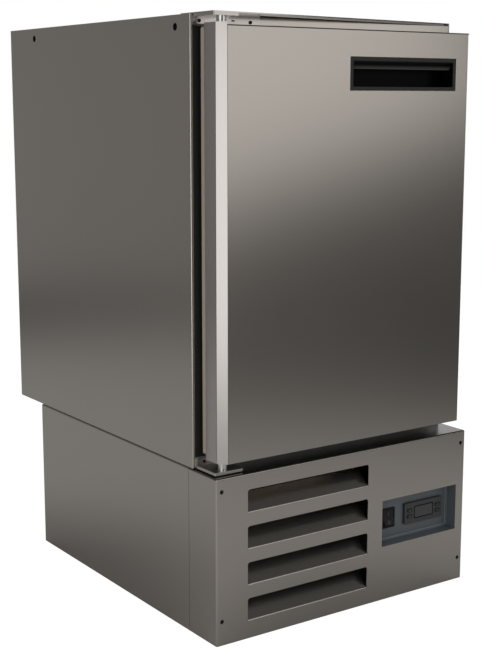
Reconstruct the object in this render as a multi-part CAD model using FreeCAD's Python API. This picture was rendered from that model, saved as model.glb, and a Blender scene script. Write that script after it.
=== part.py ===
import FreeCAD, Part
import os
from math import cos, radians, sin, tan

# Freezer counter: an insulated cabinet with one door, standing on a base that holds the machinery.
# Millimetres, +Z up, the door faces -Y, origin on the floor in the middle of the footprint.

# Overall sizes
width = 460.0
height = 850.0
cabinet_depth = 545.0
base_height = 238.0
base_projection = 58.0
base_setback = 78.0

# Sheet metal
sheet = 1.0
bend = 1.5
floor_sheet = 1.2
liner_sheet = 0.8
seam = 0.6

# Cabinet walls, measured from the outer faces to the cavity
side_wall = 52.0
top_wall = 52.0
bottom_wall = 52.0
rear_wall = 55.0
liner_corner = 12.0
front_return = 4.0
rail_height = 15.0
sill_height = 15.0
breaker_depth = 6.0
board_joint = 0.3

# Holes in the cabinet sides for joining it to its neighbours
joining_hole_radius = 5.0
joining_hole_inset = 36.0
joining_hole_spacing = 422.0
joining_hole_drop = 15.5
joining_insert_length = 20.0
joining_insert_wall = 1.5
joining_insert_floor = 3.0

# Door
door_inset = 12.0
door_stand = 53.0
door_pan_depth = 38.0
door_base_gap = 16.0
door_top_gap = 12.0
stile_rise = 3.5
stile_width = 26.0
stile_bevel = 10.7
stile_groove = 0.8
stile_wall = 3.0
door_liner_depth = 9.0
door_liner_inset = 1.0
door_liner_drop = 6.0
door_liner_border = 46.0
door_liner_web = 3.0
door_liner_round = 3.0
gasket_inset = 14.0
gasket_width = 16.0
gasket_round = 3.0
gasket_gap = 0.3

# Recessed handle
handle_width = 197.0
handle_height = 45.5
handle_right_inset = 25.0
handle_top_inset = 36.5
handle_depth = 30.0
handle_rim = 5.0
handle_rim_depth = 2.5
handle_wall = 2.0
handle_gap = 0.4
grip_height = 11.0
grip_slope = 6.5
grip_thickness = 2.5

# Hinges
pivot_inset = 24.0
pivot_stand = 37.5
hinge_plate = 4.0
hinge_arm_inset = 5.0
upper_arm_width = 40.0
lower_arm_width = 46.0
hinge_arm_reach = 48.5
upper_flange_inset = 6.5
upper_flange_width = 102.0
lower_flange_width = 45.0
flange_height = 13.5
flange_round = 5.0
gusset_thickness = 1.5
gusset_nose = 10.0
gusset_end_gap = 2.0
gusset_overlap = 30.0
pin_radius = 4.0
pin_engagement = 18.0
collar_radius = 6.5
bush_radius = 7.0
bush_length = 22.0
running_clearance = 0.05
end_play = 0.3
hinge_screw_drop = 9.0
upper_screw_places = (12.0, 65.0, 93.0)
lower_screw_places = (16.0, 38.0)
hinge_screw_radius = 1.4
hinge_screw_head_radius = 2.4
hinge_screw_head = 1.6

# Shelves
shelf_count = 2
shelf_front_gap = 30.0
shelf_rear_gap = 18.0
shelf_side_gap = 4.0
shelf_bar = 5.0
shelf_bar_height = 6.0
shelf_corner = 10.0
shelf_wire_radius = 2.0
shelf_wires = 13
runner_leg = 14.0
runner_sheet = 1.2
runner_end_gap = 12.0

# Evaporator compartment at the back of the cavity
evaporator_depth = 90.0
cover_side_gap = 8.0
cover_bottom_gap = 40.0
cover_top_gap = 20.0
evaporator_fan_drop = 155.0
evaporator_ring_radius = 82.0
evaporator_ring_depth = 20.0
evaporator_tip_radius = 76.0
evaporator_hub_radius = 20.0
evaporator_motor_radius = 28.0
evaporator_motor_length = 40.0
evaporator_coil_side_gap = 38.0
evaporator_coil_depth = 58.0
evaporator_coil_gap = 12.0
evaporator_coil_bottom = 75.0
evaporator_coil_fan_gap = 115.0
evaporator_fins = 36
guard_ring_count = 3
guard_inner_radius = 20.0
guard_ring_step = 28.0
guard_ring_width = 4.0
guard_thickness = 2.5
guard_stand = 6.0
guard_foot_radius = 90.0
drip_tray_side_gap = 28.0
drip_tray_depth = 80.0
drip_tray_bottom = 42.0
drip_tray_height = 18.0
drain_radius = 8.0
drain_bore = 6.5
drain_side_gap = 58.0
drain_rear_gap = 60.0
drain_end = 36.0
passage_clearance = 0.5

# Base panels
base_seam_depth = 11.0
base_return = 25.0
floor_flange = 25.0
seal_thickness = 1.5
seal_width = 14.0
seal_inset = 2.0
post_inset = 4.0
post_width = 10.0
post_leg = 25.0
post_sheet = 1.5
panel_screw_inset = 9.0
panel_screw_rise = 34.5
panel_screw_drop = 19.0
panel_screw_head_radius = 3.2
panel_screw_radius = 1.8
panel_screw_head = 2.0
panel_screw_length = 10.0

# Louvres pressed out of the front panel
louvre_count = 4
louvre_inset = 52.0
louvre_panel_gap = 28.0
louvre_bottom = 26.0
louvre_top_gap = 23.0
louvre_bridge = 19.8
louvre_corner = 4.0
louvre_angle = 45.0
louvre_flap_gap = 1.4
louvre_slit = 0.4
louvre_root = 6.0

# Vents in the rear panel
vent_width = 46.0
vent_height = 6.0
vent_columns = 5
vent_rows = 5
vent_side_gap = 65.0
vent_step_z = 22.0
vent_drop = 103.0
gland_right_inset = 80.0
gland_z = 42.0
gland_radius = 8.0
gland_flange_radius = 13.0
gland_flange = 5.0
gland_nose = 16.0
gland_nose_radius = 9.5
gland_bore = 4.0

# Recessed control panel
panel_right_inset = 16.4
panel_width = 148.6
panel_drop = 84.0
panel_height = 71.0
panel_depth = 19.5
panel_wall = 1.5
panel_back = 2.0
panel_flange = 8.0
panel_cove = 2.0
controller_inset = 58.0
controller_width = 76.0
controller_height = 33.0
controller_rise = 19.0
controller_face = 5.0
controller_round = 2.0
bezel_chamfer = 0.8
controller_body_margin = 4.0
controller_body_rise = 3.0
controller_body_length = 50.0
display_width = 38.0
display_height = 19.0
display_depth = 1.2
display_round = 1.5
display_gap = 0.5
key_width = 10.0
key_height = 6.0
key_round = 2.0
key_offset_x = 28.5
key_offset_z = 4.6
key_proud = 0.8
key_depth = 2.0
key_travel = 0.6
key_gap = 0.3
switch_inset = 15.5
switch_width = 25.0
switch_height = 31.0
switch_rise = 19.5
switch_face = 2.5
switch_round = 1.5
switch_body_margin = 1.6
switch_body_length = 24.0
rocker_width = 19.0
rocker_radius = 12.9
rocker_pivot_depth = 4.0
rocker_dip = 0.8
rocker_proud = 1.2
rocker_back = 7.0
rocker_tilt = 8.0
rocker_gap = 0.3

# Condenser and its fan
condenser_inset = 40.0
condenser_right_inset = 200.0
condenser_front_gap = 39.0
condenser_depth = 44.0
condenser_bottom = 8.0
condenser_top_gap = 14.8
condenser_fins = 40
fin_thickness = 0.8
fin_depth = 12.0
coil_plate = 1.5
collector_radius = 9.0
collector_end_gap = 12.0
shroud_depth = 8.0
condenser_ring_margin = 18.0
condenser_ring_depth = 26.0
condenser_tip_gap = 7.0
condenser_hub_radius = 22.0
condenser_motor_radius = 34.0
condenser_motor_length = 46.0
ring_wall = 1.5
blade_count = 5
blade_thickness = 1.6
blade_chord = 46.0
blade_root_angle = 38.0
blade_tip_angle = 24.0
fan_depth = 18.0
fan_front_gap = 4.0
motor_gap = 6.0
motor_arm = 8.0
motor_arm_thickness = 3.0
motor_arm_margin = 6.0
shaft_radius = 3.0

# Compressor
compressor_right_inset = 170.0
compressor_rear_inset = 163.5
compressor_radius = 75.0
compressor_height = 165.0
compressor_lip = 4.0
compressor_lip_height = 8.0
compressor_shoulder = 26.0
compressor_foot = 20.0
compressor_plate = 3.0
compressor_plate_width = 210.0
compressor_plate_depth = 150.0
compressor_plate_round = 18.0
grommet_spacing_x = 170.0
grommet_spacing_y = 116.0
grommet_radius = 11.0
grommet_neck_radius = 7.0
terminal_width = 56.0
terminal_height = 60.0
terminal_depth = 24.0
terminal_round = 6.0
terminal_height_at = 90.0

# Copper lines
line_radius = 4.0
capillary_radius = 1.5
line_bend = 12.0
capillary_bend = 8.0
drier_radius = 11.0
drier_length = 90.0
drier_neck = 12.0
drier_compressor_gap = 26.5
line_height = 30.0
discharge_height = 125.0
suction_height = 90.0
suction_side_gap = 20.0
suction_rear_gap = 66.0
capillary_side_gap = 18.0
capillary_rear_gap = 50.0
capillary_front_gap = 10.0
suction_entry = 28.0
capillary_entry = 130.0

# Junction box and condensate tray on the base floor
junction_right_inset = 15.0
junction_width = 62.0
junction_depth = 100.0
junction_height = 64.0
junction_front_gap = 112.0
junction_round = 4.0
junction_lid = 3.0
tray_left_inset = 16.0
tray_compressor_gap = 24.0
tray_depth = 150.0
tray_height = 44.0
tray_rear_gap = 15.0
tray_wall = 1.5

# Places worked out from the sizes above
half = width / 2
base_front = -(cabinet_depth + base_projection) / 2
cabinet_front = base_front + base_projection
cabinet_rear = cabinet_front + cabinet_depth
base_rear = cabinet_rear - base_setback
base_seam = cabinet_front + base_seam_depth
cabinet_bottom = base_height + seal_thickness
cabinet_top = height - gusset_thickness

cavity_half = half - side_wall
cove_start = cavity_half - liner_corner - liner_sheet
cavity_bottom = cabinet_bottom + bottom_wall
cavity_top = cabinet_top - top_wall
cavity_front = cabinet_front + breaker_depth
cavity_rear = cabinet_rear - rear_wall

door_left = -half + door_inset
door_right = half - door_inset
door_front = cabinet_front - door_stand
door_pan_rear = door_front + door_pan_depth
door_bottom = base_height + door_base_gap
stile_top = cabinet_top - door_top_gap
door_top = stile_top - stile_rise
stile_right = door_left + stile_width
door_liner_rear = door_pan_rear + door_liner_depth
gasket_left = door_left + gasket_inset
gasket_bottom = door_bottom + gasket_inset
gasket_top = door_top - gasket_inset
handle_right = door_right - handle_right_inset
handle_left = handle_right - handle_width
handle_top = door_top - handle_top_inset
handle_bottom = handle_top - handle_height

pivot_x = -half + pivot_inset
pivot_y = cabinet_front - pivot_stand
arm_left = -half + hinge_arm_inset
arm_front = cabinet_front - hinge_arm_reach
lower_arm_top = cabinet_bottom + hinge_plate
upper_arm_bottom = cabinet_top - hinge_plate
upper_screw_height = cabinet_top - hinge_screw_drop
lower_screw_height = cabinet_bottom + hinge_screw_drop

cover_front = cavity_rear - evaporator_depth
cover_half = cavity_half - cover_side_gap
evaporator_fan_z = cavity_top - evaporator_fan_drop
evaporator_coil_rear = cavity_rear - evaporator_coil_gap
evaporator_coil_base = cavity_bottom + evaporator_coil_bottom
evaporator_coil_top = evaporator_fan_z - evaporator_coil_fan_gap
evaporator_coil_half = cavity_half - evaporator_coil_side_gap
drip_tray_base = cavity_bottom + drip_tray_bottom
drain_x = -cavity_half + drain_side_gap
drain_y = cavity_rear - drain_rear_gap
suction_x = cavity_half - suction_side_gap
suction_y = cavity_rear - suction_rear_gap
capillary_x = cavity_half - capillary_side_gap
capillary_y = cavity_rear - capillary_rear_gap

panel_right = half - panel_right_inset
panel_left = panel_right - panel_width
panel_top = base_height - panel_drop
panel_bottom = panel_top - panel_height
panel_back_y = base_front + panel_depth
controller_x = panel_left + controller_inset + controller_width / 2
controller_z = panel_bottom + controller_rise + controller_height / 2
controller_front = panel_back_y - controller_face
switch_x = panel_left + switch_inset + switch_width / 2
switch_z = panel_bottom + switch_rise + switch_height / 2
switch_front = panel_back_y - switch_face
rocker_pivot_y = switch_front + rocker_pivot_depth

louvre_left = -half + louvre_inset
louvre_right = panel_left - louvre_panel_gap
louvre_slots = base_height - louvre_bottom - louvre_top_gap - louvre_bridge * (louvre_count - 1)
louvre_height = louvre_slots / louvre_count

gland_x = half - gland_right_inset
condenser_left = -half + condenser_inset
condenser_right = half - condenser_right_inset
condenser_width = condenser_right - condenser_left
condenser_front = base_front + condenser_front_gap
condenser_rear = condenser_front + condenser_depth
condenser_base = floor_sheet + condenser_bottom
condenser_top = base_height - condenser_top_gap
condenser_fan_x = condenser_left + condenser_width / 2
condenser_fan_z = (condenser_base + condenser_top) / 2
condenser_ring_radius = condenser_width / 2 - condenser_ring_margin
condenser_tip_radius = condenser_ring_radius - condenser_tip_gap
shroud_rear = condenser_rear + shroud_depth
compressor_x = half - compressor_right_inset
compressor_y = base_rear - compressor_rear_inset
shell_bottom = floor_sheet + compressor_foot + compressor_plate

V = FreeCAD.Vector
plane_points = {
    "xy": lambda u, v, w: V(u, v, w),
    "xz": lambda u, v, w: V(u, w, v),
    "yz": lambda u, v, w: V(w, u, v),
}
plane_normals = {"xy": V(0, 0, 1), "xz": V(0, 1, 0), "yz": V(1, 0, 0)}
shortest_edge = 1e-6


def box(x, y, z):
    """Block between two values on each axis."""
    return Part.makeBox(x[1] - x[0], y[1] - y[0], z[1] - z[0], V(x[0], y[0], z[0]))


def rod(start, end, radius):
    """Round bar between two points."""
    return Part.makeCylinder(radius, (V(*end) - V(*start)).Length, V(*start), V(*end) - V(*start))


def joined(pieces):
    """Pieces fused into one solid, with the seams between flush faces removed."""
    return pieces[0].multiFuse(pieces[1:]).removeSplitter()


def mirrored(shape):
    """The same piece on the other side of the cabinet."""
    return shape.mirror(V(0, 0, 0), V(1, 0, 0))


def rounded_path(points, radii, closed):
    """Wire through the points, with a tangent arc at each corner that has a radius."""
    count = len(points)
    stops = []
    for i, point in enumerate(points):
        is_end = not closed and i in (0, count - 1)
        if is_end or radii[i] == 0:
            stops.append((point, None, point))
            continue
        back = (points[i - 1] - point).normalize()
        ahead = (points[(i + 1) % count] - point).normalize()
        half_angle = back.getAngle(ahead) / 2
        reach = radii[i] / tan(half_angle)
        middle = point + (back + ahead).normalize() * (radii[i] / sin(half_angle) - radii[i])
        stops.append((point + back * reach, middle, point + ahead * reach))
    edges = []
    for i, (start, middle, end) in enumerate(stops):
        if middle is not None:
            edges.append(Part.Arc(start, middle, end).toShape())
        following = stops[(i + 1) % count][0]
        if (closed or i + 1 < count) and (following - end).Length > shortest_edge:
            edges.append(Part.LineSegment(end, following).toShape())
    return Part.Wire(edges)


def prism(plane, points, span, radii=0.0):
    """Closed outline on a plane, with rounded corners, drawn out along the plane's normal."""
    if not isinstance(radii, (list, tuple)):
        radii = [radii] * len(points)
    corners = [plane_points[plane](u, v, span[0]) for u, v in points]
    face = Part.Face(rounded_path(corners, radii, True))
    return face.extrude(plane_normals[plane] * (span[1] - span[0]))


def rounded_block(plane, u, v, span, radius):
    """Block whose four edges along the plane's normal are rounded."""
    corners = [(u[0], v[0]), (u[1], v[0]), (u[1], v[1]), (u[0], v[1])]
    return prism(plane, corners, span, radius)


def folded(plane, points, thickness, span):
    """Sheet bent along a line of outer corners, with the metal on the left of the line."""
    normals = []
    for (u0, v0), (u1, v1) in zip(points, points[1:]):
        length = ((u1 - u0) ** 2 + (v1 - v0) ** 2) ** 0.5
        normals.append(((v0 - v1) / length, (u1 - u0) / length))
    before = [normals[0]] + normals
    after = normals + [normals[-1]]
    inner = []
    outer_radii = []
    inner_radii = []
    for i, ((u, v), (a, b), (c, d)) in enumerate(zip(points, before, after)):
        share = thickness / (1 + a * c + b * d)
        inner.append((u + share * (a + c), v + share * (b + d)))
        is_bend = 0 < i < len(points) - 1
        turns_left = a * d - b * c > 0
        outer_radii.append(is_bend * (bend + turns_left * thickness))
        inner_radii.append(is_bend * (bend + (not turns_left) * thickness))
    return prism(plane, points + inner[::-1], span, outer_radii + inner_radii[::-1])


def pipe(points, radius, bend_radius):
    """Round bar along straight runs joined by tangent bends."""
    corners = [V(*point) for point in points]
    path = rounded_path(corners, [bend_radius] * len(corners), False)
    section = Part.Face(Part.Wire(Part.makeCircle(radius, corners[0], corners[1] - corners[0])))
    return path.makePipe(section)


def turned(profile, base, axis, radii=0.0):
    """Solid turned about an axis from a profile of (radius, distance along the axis) points."""
    if not isinstance(radii, (list, tuple)):
        radii = [radii] * len(profile)
    outward = V(1, 0, 0)
    corners = [V(*base) + outward * r + V(*axis) * along for r, along in profile]
    return Part.Face(rounded_path(corners, radii, True)).revolve(V(*base), V(*axis), 360)


def edges_at(shape, test):
    """Edges whose middle point passes a test."""
    return [edge for edge in shape.Edges if test(edge.CenterOfMass)]


def near(a, b):
    """Whether two coordinates are the same place."""
    return abs(a - b) < 0.01


# Cabinet panels


def side_panel():
    """Left outer panel with its narrow front return and two joining holes."""
    line = [(-half, cabinet_rear), (-half, cabinet_front), (-half + front_return, cabinet_front)]
    panel = folded("xy", line, sheet, (cabinet_bottom, cabinet_top))
    for y, z in joining_hole_places():
        panel = panel.cut(rod((-half - sheet, y, z), (-half + 2 * sheet, y, z), joining_hole_radius))
    return panel


def joining_hole_places():
    """Front and rear joining hole, as (y, z)."""
    front = cabinet_front + joining_hole_inset
    z = cabinet_top - joining_hole_drop
    return [(front, z), (front + joining_hole_spacing, z)]


def top_panel():
    """Top sheet whose front edge is folded down as the rail above the door."""
    line = [
        (cabinet_rear, cabinet_top),
        (cabinet_front, cabinet_top),
        (cabinet_front, cabinet_top - rail_height),
    ]
    rail_half = half - front_return
    fold = folded("yz", line, sheet, (-rail_half, rail_half))
    edge = half - sheet
    flat = box(
        (-edge, edge),
        (cabinet_front + front_return, cabinet_rear),
        (cabinet_top - sheet, cabinet_top),
    )
    return joined([fold, flat]).cut(hinge_screws())


def bottom_panel():
    """Bottom sheet whose front edge is folded up as the sill under the door."""
    line = [
        (cabinet_front, cabinet_bottom + sill_height),
        (cabinet_front, cabinet_bottom),
        (cabinet_rear - sheet, cabinet_bottom),
    ]
    sill_half = half - front_return
    fold = folded("yz", line, sheet, (-sill_half, sill_half))
    edge = half - sheet
    rear = cabinet_rear - sheet
    flat = box((-edge, edge), (cabinet_front + front_return, rear), (cabinet_bottom, cabinet_bottom + sheet))
    return joined([fold, flat]).cut(hinge_screws()).cut(wall_passages())


def back_panel():
    """Rear outer sheet."""
    edge = half - sheet
    return box((-edge, edge), (cabinet_rear - sheet, cabinet_rear), (cabinet_bottom, cabinet_top - sheet))


def wall_passages():
    """Bores through the cabinet floor for the drain and the two refrigerant lines."""
    bottom = cabinet_bottom - seal_thickness
    top = cavity_bottom + liner_sheet
    bores = [
        (drain_x, drain_y, drain_radius),
        (suction_x, suction_y, line_radius),
        (capillary_x, capillary_y, capillary_radius),
    ]
    return Part.makeCompound(
        [rod((x, y, bottom), (x, y, top), radius + passage_clearance) for x, y, radius in bores]
    )


def cavity_block(grow):
    """The storage space, rounded along its depth and larger all round by a given thickness."""
    return rounded_block(
        "xz",
        (-cavity_half - grow, cavity_half + grow),
        (cavity_bottom - grow, cavity_top + grow),
        (cavity_front, cavity_rear + grow),
        liner_corner + grow,
    )


def inner_liner():
    """Liner with coved corners, open at the front."""
    return cavity_block(liner_sheet).cut(cavity_block(0)).cut(wall_passages())


def insulation():
    """Foam boards round the liner: two sides with the coved corners, and three boards between them."""
    edge = half - sheet
    block = box(
        (-edge, edge),
        (cabinet_front + sheet, cabinet_rear - sheet),
        (cabinet_bottom + sheet, cabinet_top - sheet),
    )
    left = side_panel()
    front = Part.makeCompound([left, mirrored(left), top_panel(), bottom_panel(), hinge_screws()])
    foam = block.cut(cavity_block(liner_sheet)).cut(breaker_block()).cut(wall_passages()).cut(front)
    foam = foam.cut(insert_rods(joining_insert_length, joining_hole_radius + joining_insert_wall))
    middle = (cavity_bottom + cavity_top) / 2
    rise = (cabinet_bottom, cabinet_top)
    depth = (cabinet_front, cabinet_rear)
    back = cavity_rear + liner_sheet
    between = (board_joint - cove_start, cove_start - board_joint)
    boards = [
        box((-half, -cove_start), depth, rise),
        box((cove_start, half), depth, rise),
        box(between, (cabinet_front, back - board_joint), (cabinet_bottom, middle)),
        box(between, (cabinet_front, back - board_joint), (middle, cabinet_top)),
        box(between, (back, cabinet_rear), rise),
    ]
    return Part.makeCompound([foam.common(board) for board in boards])


def insert_rods(length, radius):
    """Round bars behind all four joining holes, inwards from the outer panels."""
    bars = []
    for y, z in joining_hole_places():
        for side in (-1, 1):
            start = half - sheet
            bars.append(rod((side * start, y, z), (side * (start - length), y, z), radius))
    return Part.makeCompound(bars)


def joining_inserts():
    """Blind inserts in the foam behind the joining holes."""
    blanks = insert_rods(joining_insert_length, joining_hole_radius + joining_insert_wall)
    return blanks.cut(insert_rods(joining_insert_length - joining_insert_floor, joining_hole_radius))


def breaker_block():
    """Outer block of the breaker frame, between the folded steel edges."""
    edge = half - front_return
    return box(
        (-edge, edge),
        (cabinet_front, cavity_front),
        (cabinet_bottom + sill_height, cabinet_top - rail_height),
    )


def breaker_frame():
    """Plastic strips round the mouth of the cavity, which the gasket closes on."""
    mouth = rounded_block(
        "xz",
        (-cavity_half, cavity_half),
        (cavity_bottom, cavity_top),
        (cabinet_front, cavity_front),
        liner_corner,
    )
    frame = breaker_block().cut(mouth)
    depth = (cabinet_front, cavity_front)
    middle = (cavity_bottom + cavity_top) / 2
    between = (board_joint - cove_start, cove_start - board_joint)
    strips = [
        box((-half, -cove_start), depth, (cabinet_bottom, cabinet_top)),
        box((cove_start, half), depth, (cabinet_bottom, cabinet_top)),
        box(between, depth, (cabinet_bottom, middle)),
        box(between, depth, (middle, cabinet_top)),
    ]
    return Part.makeCompound([frame.common(strip) for strip in strips])


# Hinges


def hinge_screw(x, z):
    """Pan-head screw through a hinge flange and the folded steel edge behind it."""
    face = cabinet_front - hinge_plate
    top = face - hinge_screw_head
    tip = cabinet_front + sheet
    profile = [
        (0, top),
        (hinge_screw_head_radius - hinge_screw_head / 2, top),
        (hinge_screw_head_radius, face - hinge_screw_head / 2),
        (hinge_screw_head_radius, face),
        (hinge_screw_radius, face),
        (hinge_screw_radius, tip),
        (0, tip),
    ]
    return turned(profile, (x, 0, z), (0, 1, 0))


def hinge_screws():
    """Screws of both hinge brackets."""
    upper = [hinge_screw(-half + place, upper_screw_height) for place in upper_screw_places]
    lower = [hinge_screw(-half + place, lower_screw_height) for place in lower_screw_places]
    return Part.makeCompound(upper + lower)


def upright(bottom, top, radius):
    """Round bar on the door's pivot line."""
    return rod((pivot_x, pivot_y, bottom), (pivot_x, pivot_y, top), radius)


def hinge_bracket(arm_width, flange_x, flange_z, arm_z, root_z):
    """Arm that carries a hinge pin, with the flange that screws to the cabinet front."""
    arm = box((arm_left, arm_left + arm_width), (arm_front, cabinet_front), arm_z)
    front_corners = edges_at(arm, lambda c: near(c.y, arm_front) and arm_z[0] < c.z < arm_z[1])
    arm = arm.makeFillet(bend, front_corners)
    face = (cabinet_front - hinge_plate, cabinet_front)
    flange = box(flange_x, face, flange_z)
    tips = edges_at(flange, lambda c: face[0] < c.y < face[1] and not near(c.z, root_z) and
                    (near(c.x, flange_x[0]) or near(c.x, flange_x[1])) and
                    abs(c.z - root_z) > flange_height / 2)
    flange = flange.makeFillet(flange_round, tips)
    bracket = joined([arm, flange])
    return bracket.cut(upright(arm_z[0], arm_z[1], pin_radius)).cut(hinge_screws())


def top_hinge_bracket():
    """Upper bracket, with the wide flange on the rail."""
    left = -half + upper_flange_inset
    return hinge_bracket(
        upper_arm_width,
        (left, left + upper_flange_width),
        (cabinet_top - flange_height, cabinet_top),
        (upper_arm_bottom, cabinet_top),
        cabinet_top,
    )


def bottom_hinge_bracket():
    """Lower bracket, with its flange on the sill."""
    return hinge_bracket(
        lower_arm_width,
        (arm_left, arm_left + lower_flange_width),
        (cabinet_bottom, cabinet_bottom + flange_height),
        (cabinet_bottom, lower_arm_top),
        cabinet_bottom,
    )


def top_gusset():
    """Tapered plate over the upper arm that ties it to the top of the cabinet, right across its front."""
    rear = cabinet_front + gusset_overlap
    tip = half - gusset_end_gap
    plan = [
        (arm_left, arm_front),
        (arm_left + gusset_nose, arm_front),
        (tip, cabinet_front),
        (tip, rear),
        (arm_left, rear),
    ]
    return prism("xy", plan, (cabinet_top, height), [bend, 0, 0, 0, 0])


def hinge_pins():
    """Two pins, each with the collar that spaces the door from its bracket."""
    upper_shaft = upright(stile_top - pin_engagement, cabinet_top, pin_radius)
    upper_collar = upright(stile_top + end_play, upper_arm_bottom, collar_radius)
    lower_shaft = upright(cabinet_bottom, door_bottom + pin_engagement, pin_radius)
    lower_collar = upright(lower_arm_top, door_bottom - end_play, collar_radius)
    return Part.makeCompound([joined([upper_shaft, upper_collar]), joined([lower_shaft, lower_collar])])


def pivot_bushes():
    """Plain bushes in the two ends of the hinge stile."""
    bushes = []
    for bottom in (door_bottom, stile_top - bush_length):
        top = bottom + bush_length
        bush = upright(bottom, top, bush_radius)
        bushes.append(bush.cut(upright(bottom, top, pin_radius + running_clearance)))
    return Part.makeCompound(bushes)


# Door


def hinge_stile():
    """Extruded door edge with a bevelled nose, a round channel for the bushes and a hollow behind it."""
    nose = door_left + stile_bevel
    plan = [
        (door_left, door_pan_rear),
        (door_left, door_front + stile_bevel),
        (nose, door_front),
        (nose, door_front + sheet),
        (stile_right, door_front + sheet),
        (stile_right, door_pan_rear),
    ]
    span = (door_bottom, stile_top)
    stile = prism("xy", plan, span)
    channel = upright(door_bottom, stile_top, bush_radius)
    hollow = rounded_block(
        "xy",
        (door_left + stile_wall, stile_right - stile_wall),
        (pivot_y + bush_radius + stile_wall, door_pan_rear - stile_wall),
        span,
        bend,
    )
    groove = box(
        (door_left, door_left + stile_groove),
        (door_front + stile_bevel, door_front + stile_bevel + stile_groove),
        span,
    )
    return stile.cut(channel).cut(hollow).cut(groove)


def door_skin():
    """Folded front pan of the door: face, right edge, top and bottom, cut out for the handle."""
    pan = box((stile_right, door_right), (door_front, door_pan_rear), (door_bottom, door_top))
    corner = edges_at(pan, lambda c: near(c.x, door_right) and near(c.y, door_front))
    pan = pan.makeFillet(bend + sheet, corner)
    inside = box(
        (stile_right - sheet, door_right - sheet),
        (door_front + sheet, door_pan_rear + sheet),
        (door_bottom + sheet, door_top - sheet),
    )
    inner_corner = edges_at(inside, lambda c: near(c.x, door_right - sheet) and near(c.y, door_front + sheet))
    pan = pan.cut(inside.makeFillet(bend, inner_corner))
    lap_left = door_left + stile_bevel + seam
    lap = box((lap_left, stile_right + bend), (door_front, door_front + sheet), (door_bottom, door_top))
    cutout = box(
        (handle_left - handle_gap, handle_right + handle_gap),
        (door_front - sheet, door_front + 2 * sheet),
        (handle_bottom - handle_gap, handle_top + handle_gap),
    )
    return joined([pan, lap]).cut(cutout)


def handle_body():
    """Outer block of the handle cup behind its rim."""
    inset = handle_rim - handle_wall
    return box(
        (handle_left + inset, handle_right - inset),
        (door_front, door_front + handle_depth),
        (handle_bottom + inset, handle_top - inset),
    )


def handle_cup():
    """Moulded finger pocket: a rim flush with the skin, a deep cup and a sloping grip lip at the top."""
    rim = rounded_block(
        "xz",
        (handle_left, handle_right),
        (handle_bottom, handle_top),
        (door_front, door_front + handle_rim_depth),
        handle_wall / 2,
    )
    left = handle_left + handle_rim
    right = handle_right - handle_rim
    top = handle_top - handle_rim
    pocket = rounded_block(
        "xz",
        (left, right),
        (handle_bottom + handle_rim, top),
        (door_front - sheet, door_front + handle_depth - handle_wall),
        handle_wall,
    )
    back = door_front + handle_rim_depth
    grip = [
        (door_front + sheet, top),
        (back + grip_thickness, top),
        (back + grip_slope + grip_thickness, top - grip_height),
        (back + grip_slope, top - grip_height),
        (door_front + sheet, top - sheet),
    ]
    lip = prism("yz", grip, (left - handle_wall / 2, right + handle_wall / 2))
    lip_root = box(
        (left, right),
        (door_front + sheet, back + grip_thickness),
        (top - sheet, top + handle_wall / 2),
    )
    return joined([joined([rim, handle_body()]).cut(pocket), lip, lip_root])


def door_foam():
    """Foam that fills the door pan behind the skin."""
    block = box(
        (stile_right, door_right - sheet),
        (door_front + sheet, door_pan_rear),
        (door_bottom + sheet, door_top - sheet),
    )
    rim = box(
        (handle_left - handle_gap, handle_right + handle_gap),
        (door_front, door_front + handle_rim_depth),
        (handle_bottom - handle_gap, handle_top + handle_gap),
    )
    return block.cut(door_skin()).cut(handle_body()).cut(rim)


def door_liner():
    """Moulded inner panel: a raised border that carries the gasket, round a sunk centre."""
    left = door_left + door_liner_inset
    right = door_right - door_liner_inset
    bottom = door_bottom + door_liner_drop
    top = door_top - door_liner_inset
    span = (door_pan_rear, door_liner_rear)
    panel = rounded_block("xz", (left, right), (bottom, top), span, door_liner_round)
    sunk = rounded_block(
        "xz",
        (left + door_liner_border, right - door_liner_border),
        (bottom + door_liner_border, top - door_liner_border),
        (door_pan_rear + door_liner_web, door_liner_rear),
        liner_corner,
    )
    return panel.cut(sunk)


def door_gasket():
    """Magnetic gasket on the border of the inner panel, just off the breaker frame when shut."""
    span = (door_liner_rear, cabinet_front - gasket_gap)
    right = -gasket_left
    outer = rounded_block("xz", (gasket_left, right), (gasket_bottom, gasket_top), span, gasket_round)
    inner = rounded_block(
        "xz",
        (gasket_left + gasket_width, right - gasket_width),
        (gasket_bottom + gasket_width, gasket_top - gasket_width),
        span,
        gasket_round,
    )
    return outer.cut(inner)


# Shelves


def shelf_height(level):
    """Underside of a shelf, counted from the lowest, which is 1."""
    return cavity_bottom + (cavity_top - cavity_bottom) * level / (shelf_count + 1)


def wire_shelf(level):
    """Welded shelf: a flat bar frame with a row of wires between its front and rear bars."""
    z = shelf_height(level)
    edge = cavity_half - shelf_side_gap
    front = cavity_front + shelf_front_gap
    rear = cover_front - shelf_rear_gap
    span = (z, z + shelf_bar_height)
    frame = rounded_block("xy", (-edge, edge), (front, rear), span, shelf_corner)
    inner_edge = edge - shelf_bar
    wire_ends = (front + shelf_bar, rear - shelf_bar)
    opening = rounded_block(
        "xy", (-inner_edge, inner_edge), wire_ends, span, shelf_corner - shelf_bar
    )
    pieces = [frame.cut(opening)]
    pitch = 2 * inner_edge / (shelf_wires + 1)
    wire_z = z + shelf_bar_height / 2
    for i in range(shelf_wires):
        x = -inner_edge + pitch * (i + 1)
        pieces.append(rod((x, wire_ends[0], wire_z), (x, wire_ends[1], wire_z), shelf_wire_radius))
    return joined(pieces)


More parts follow.
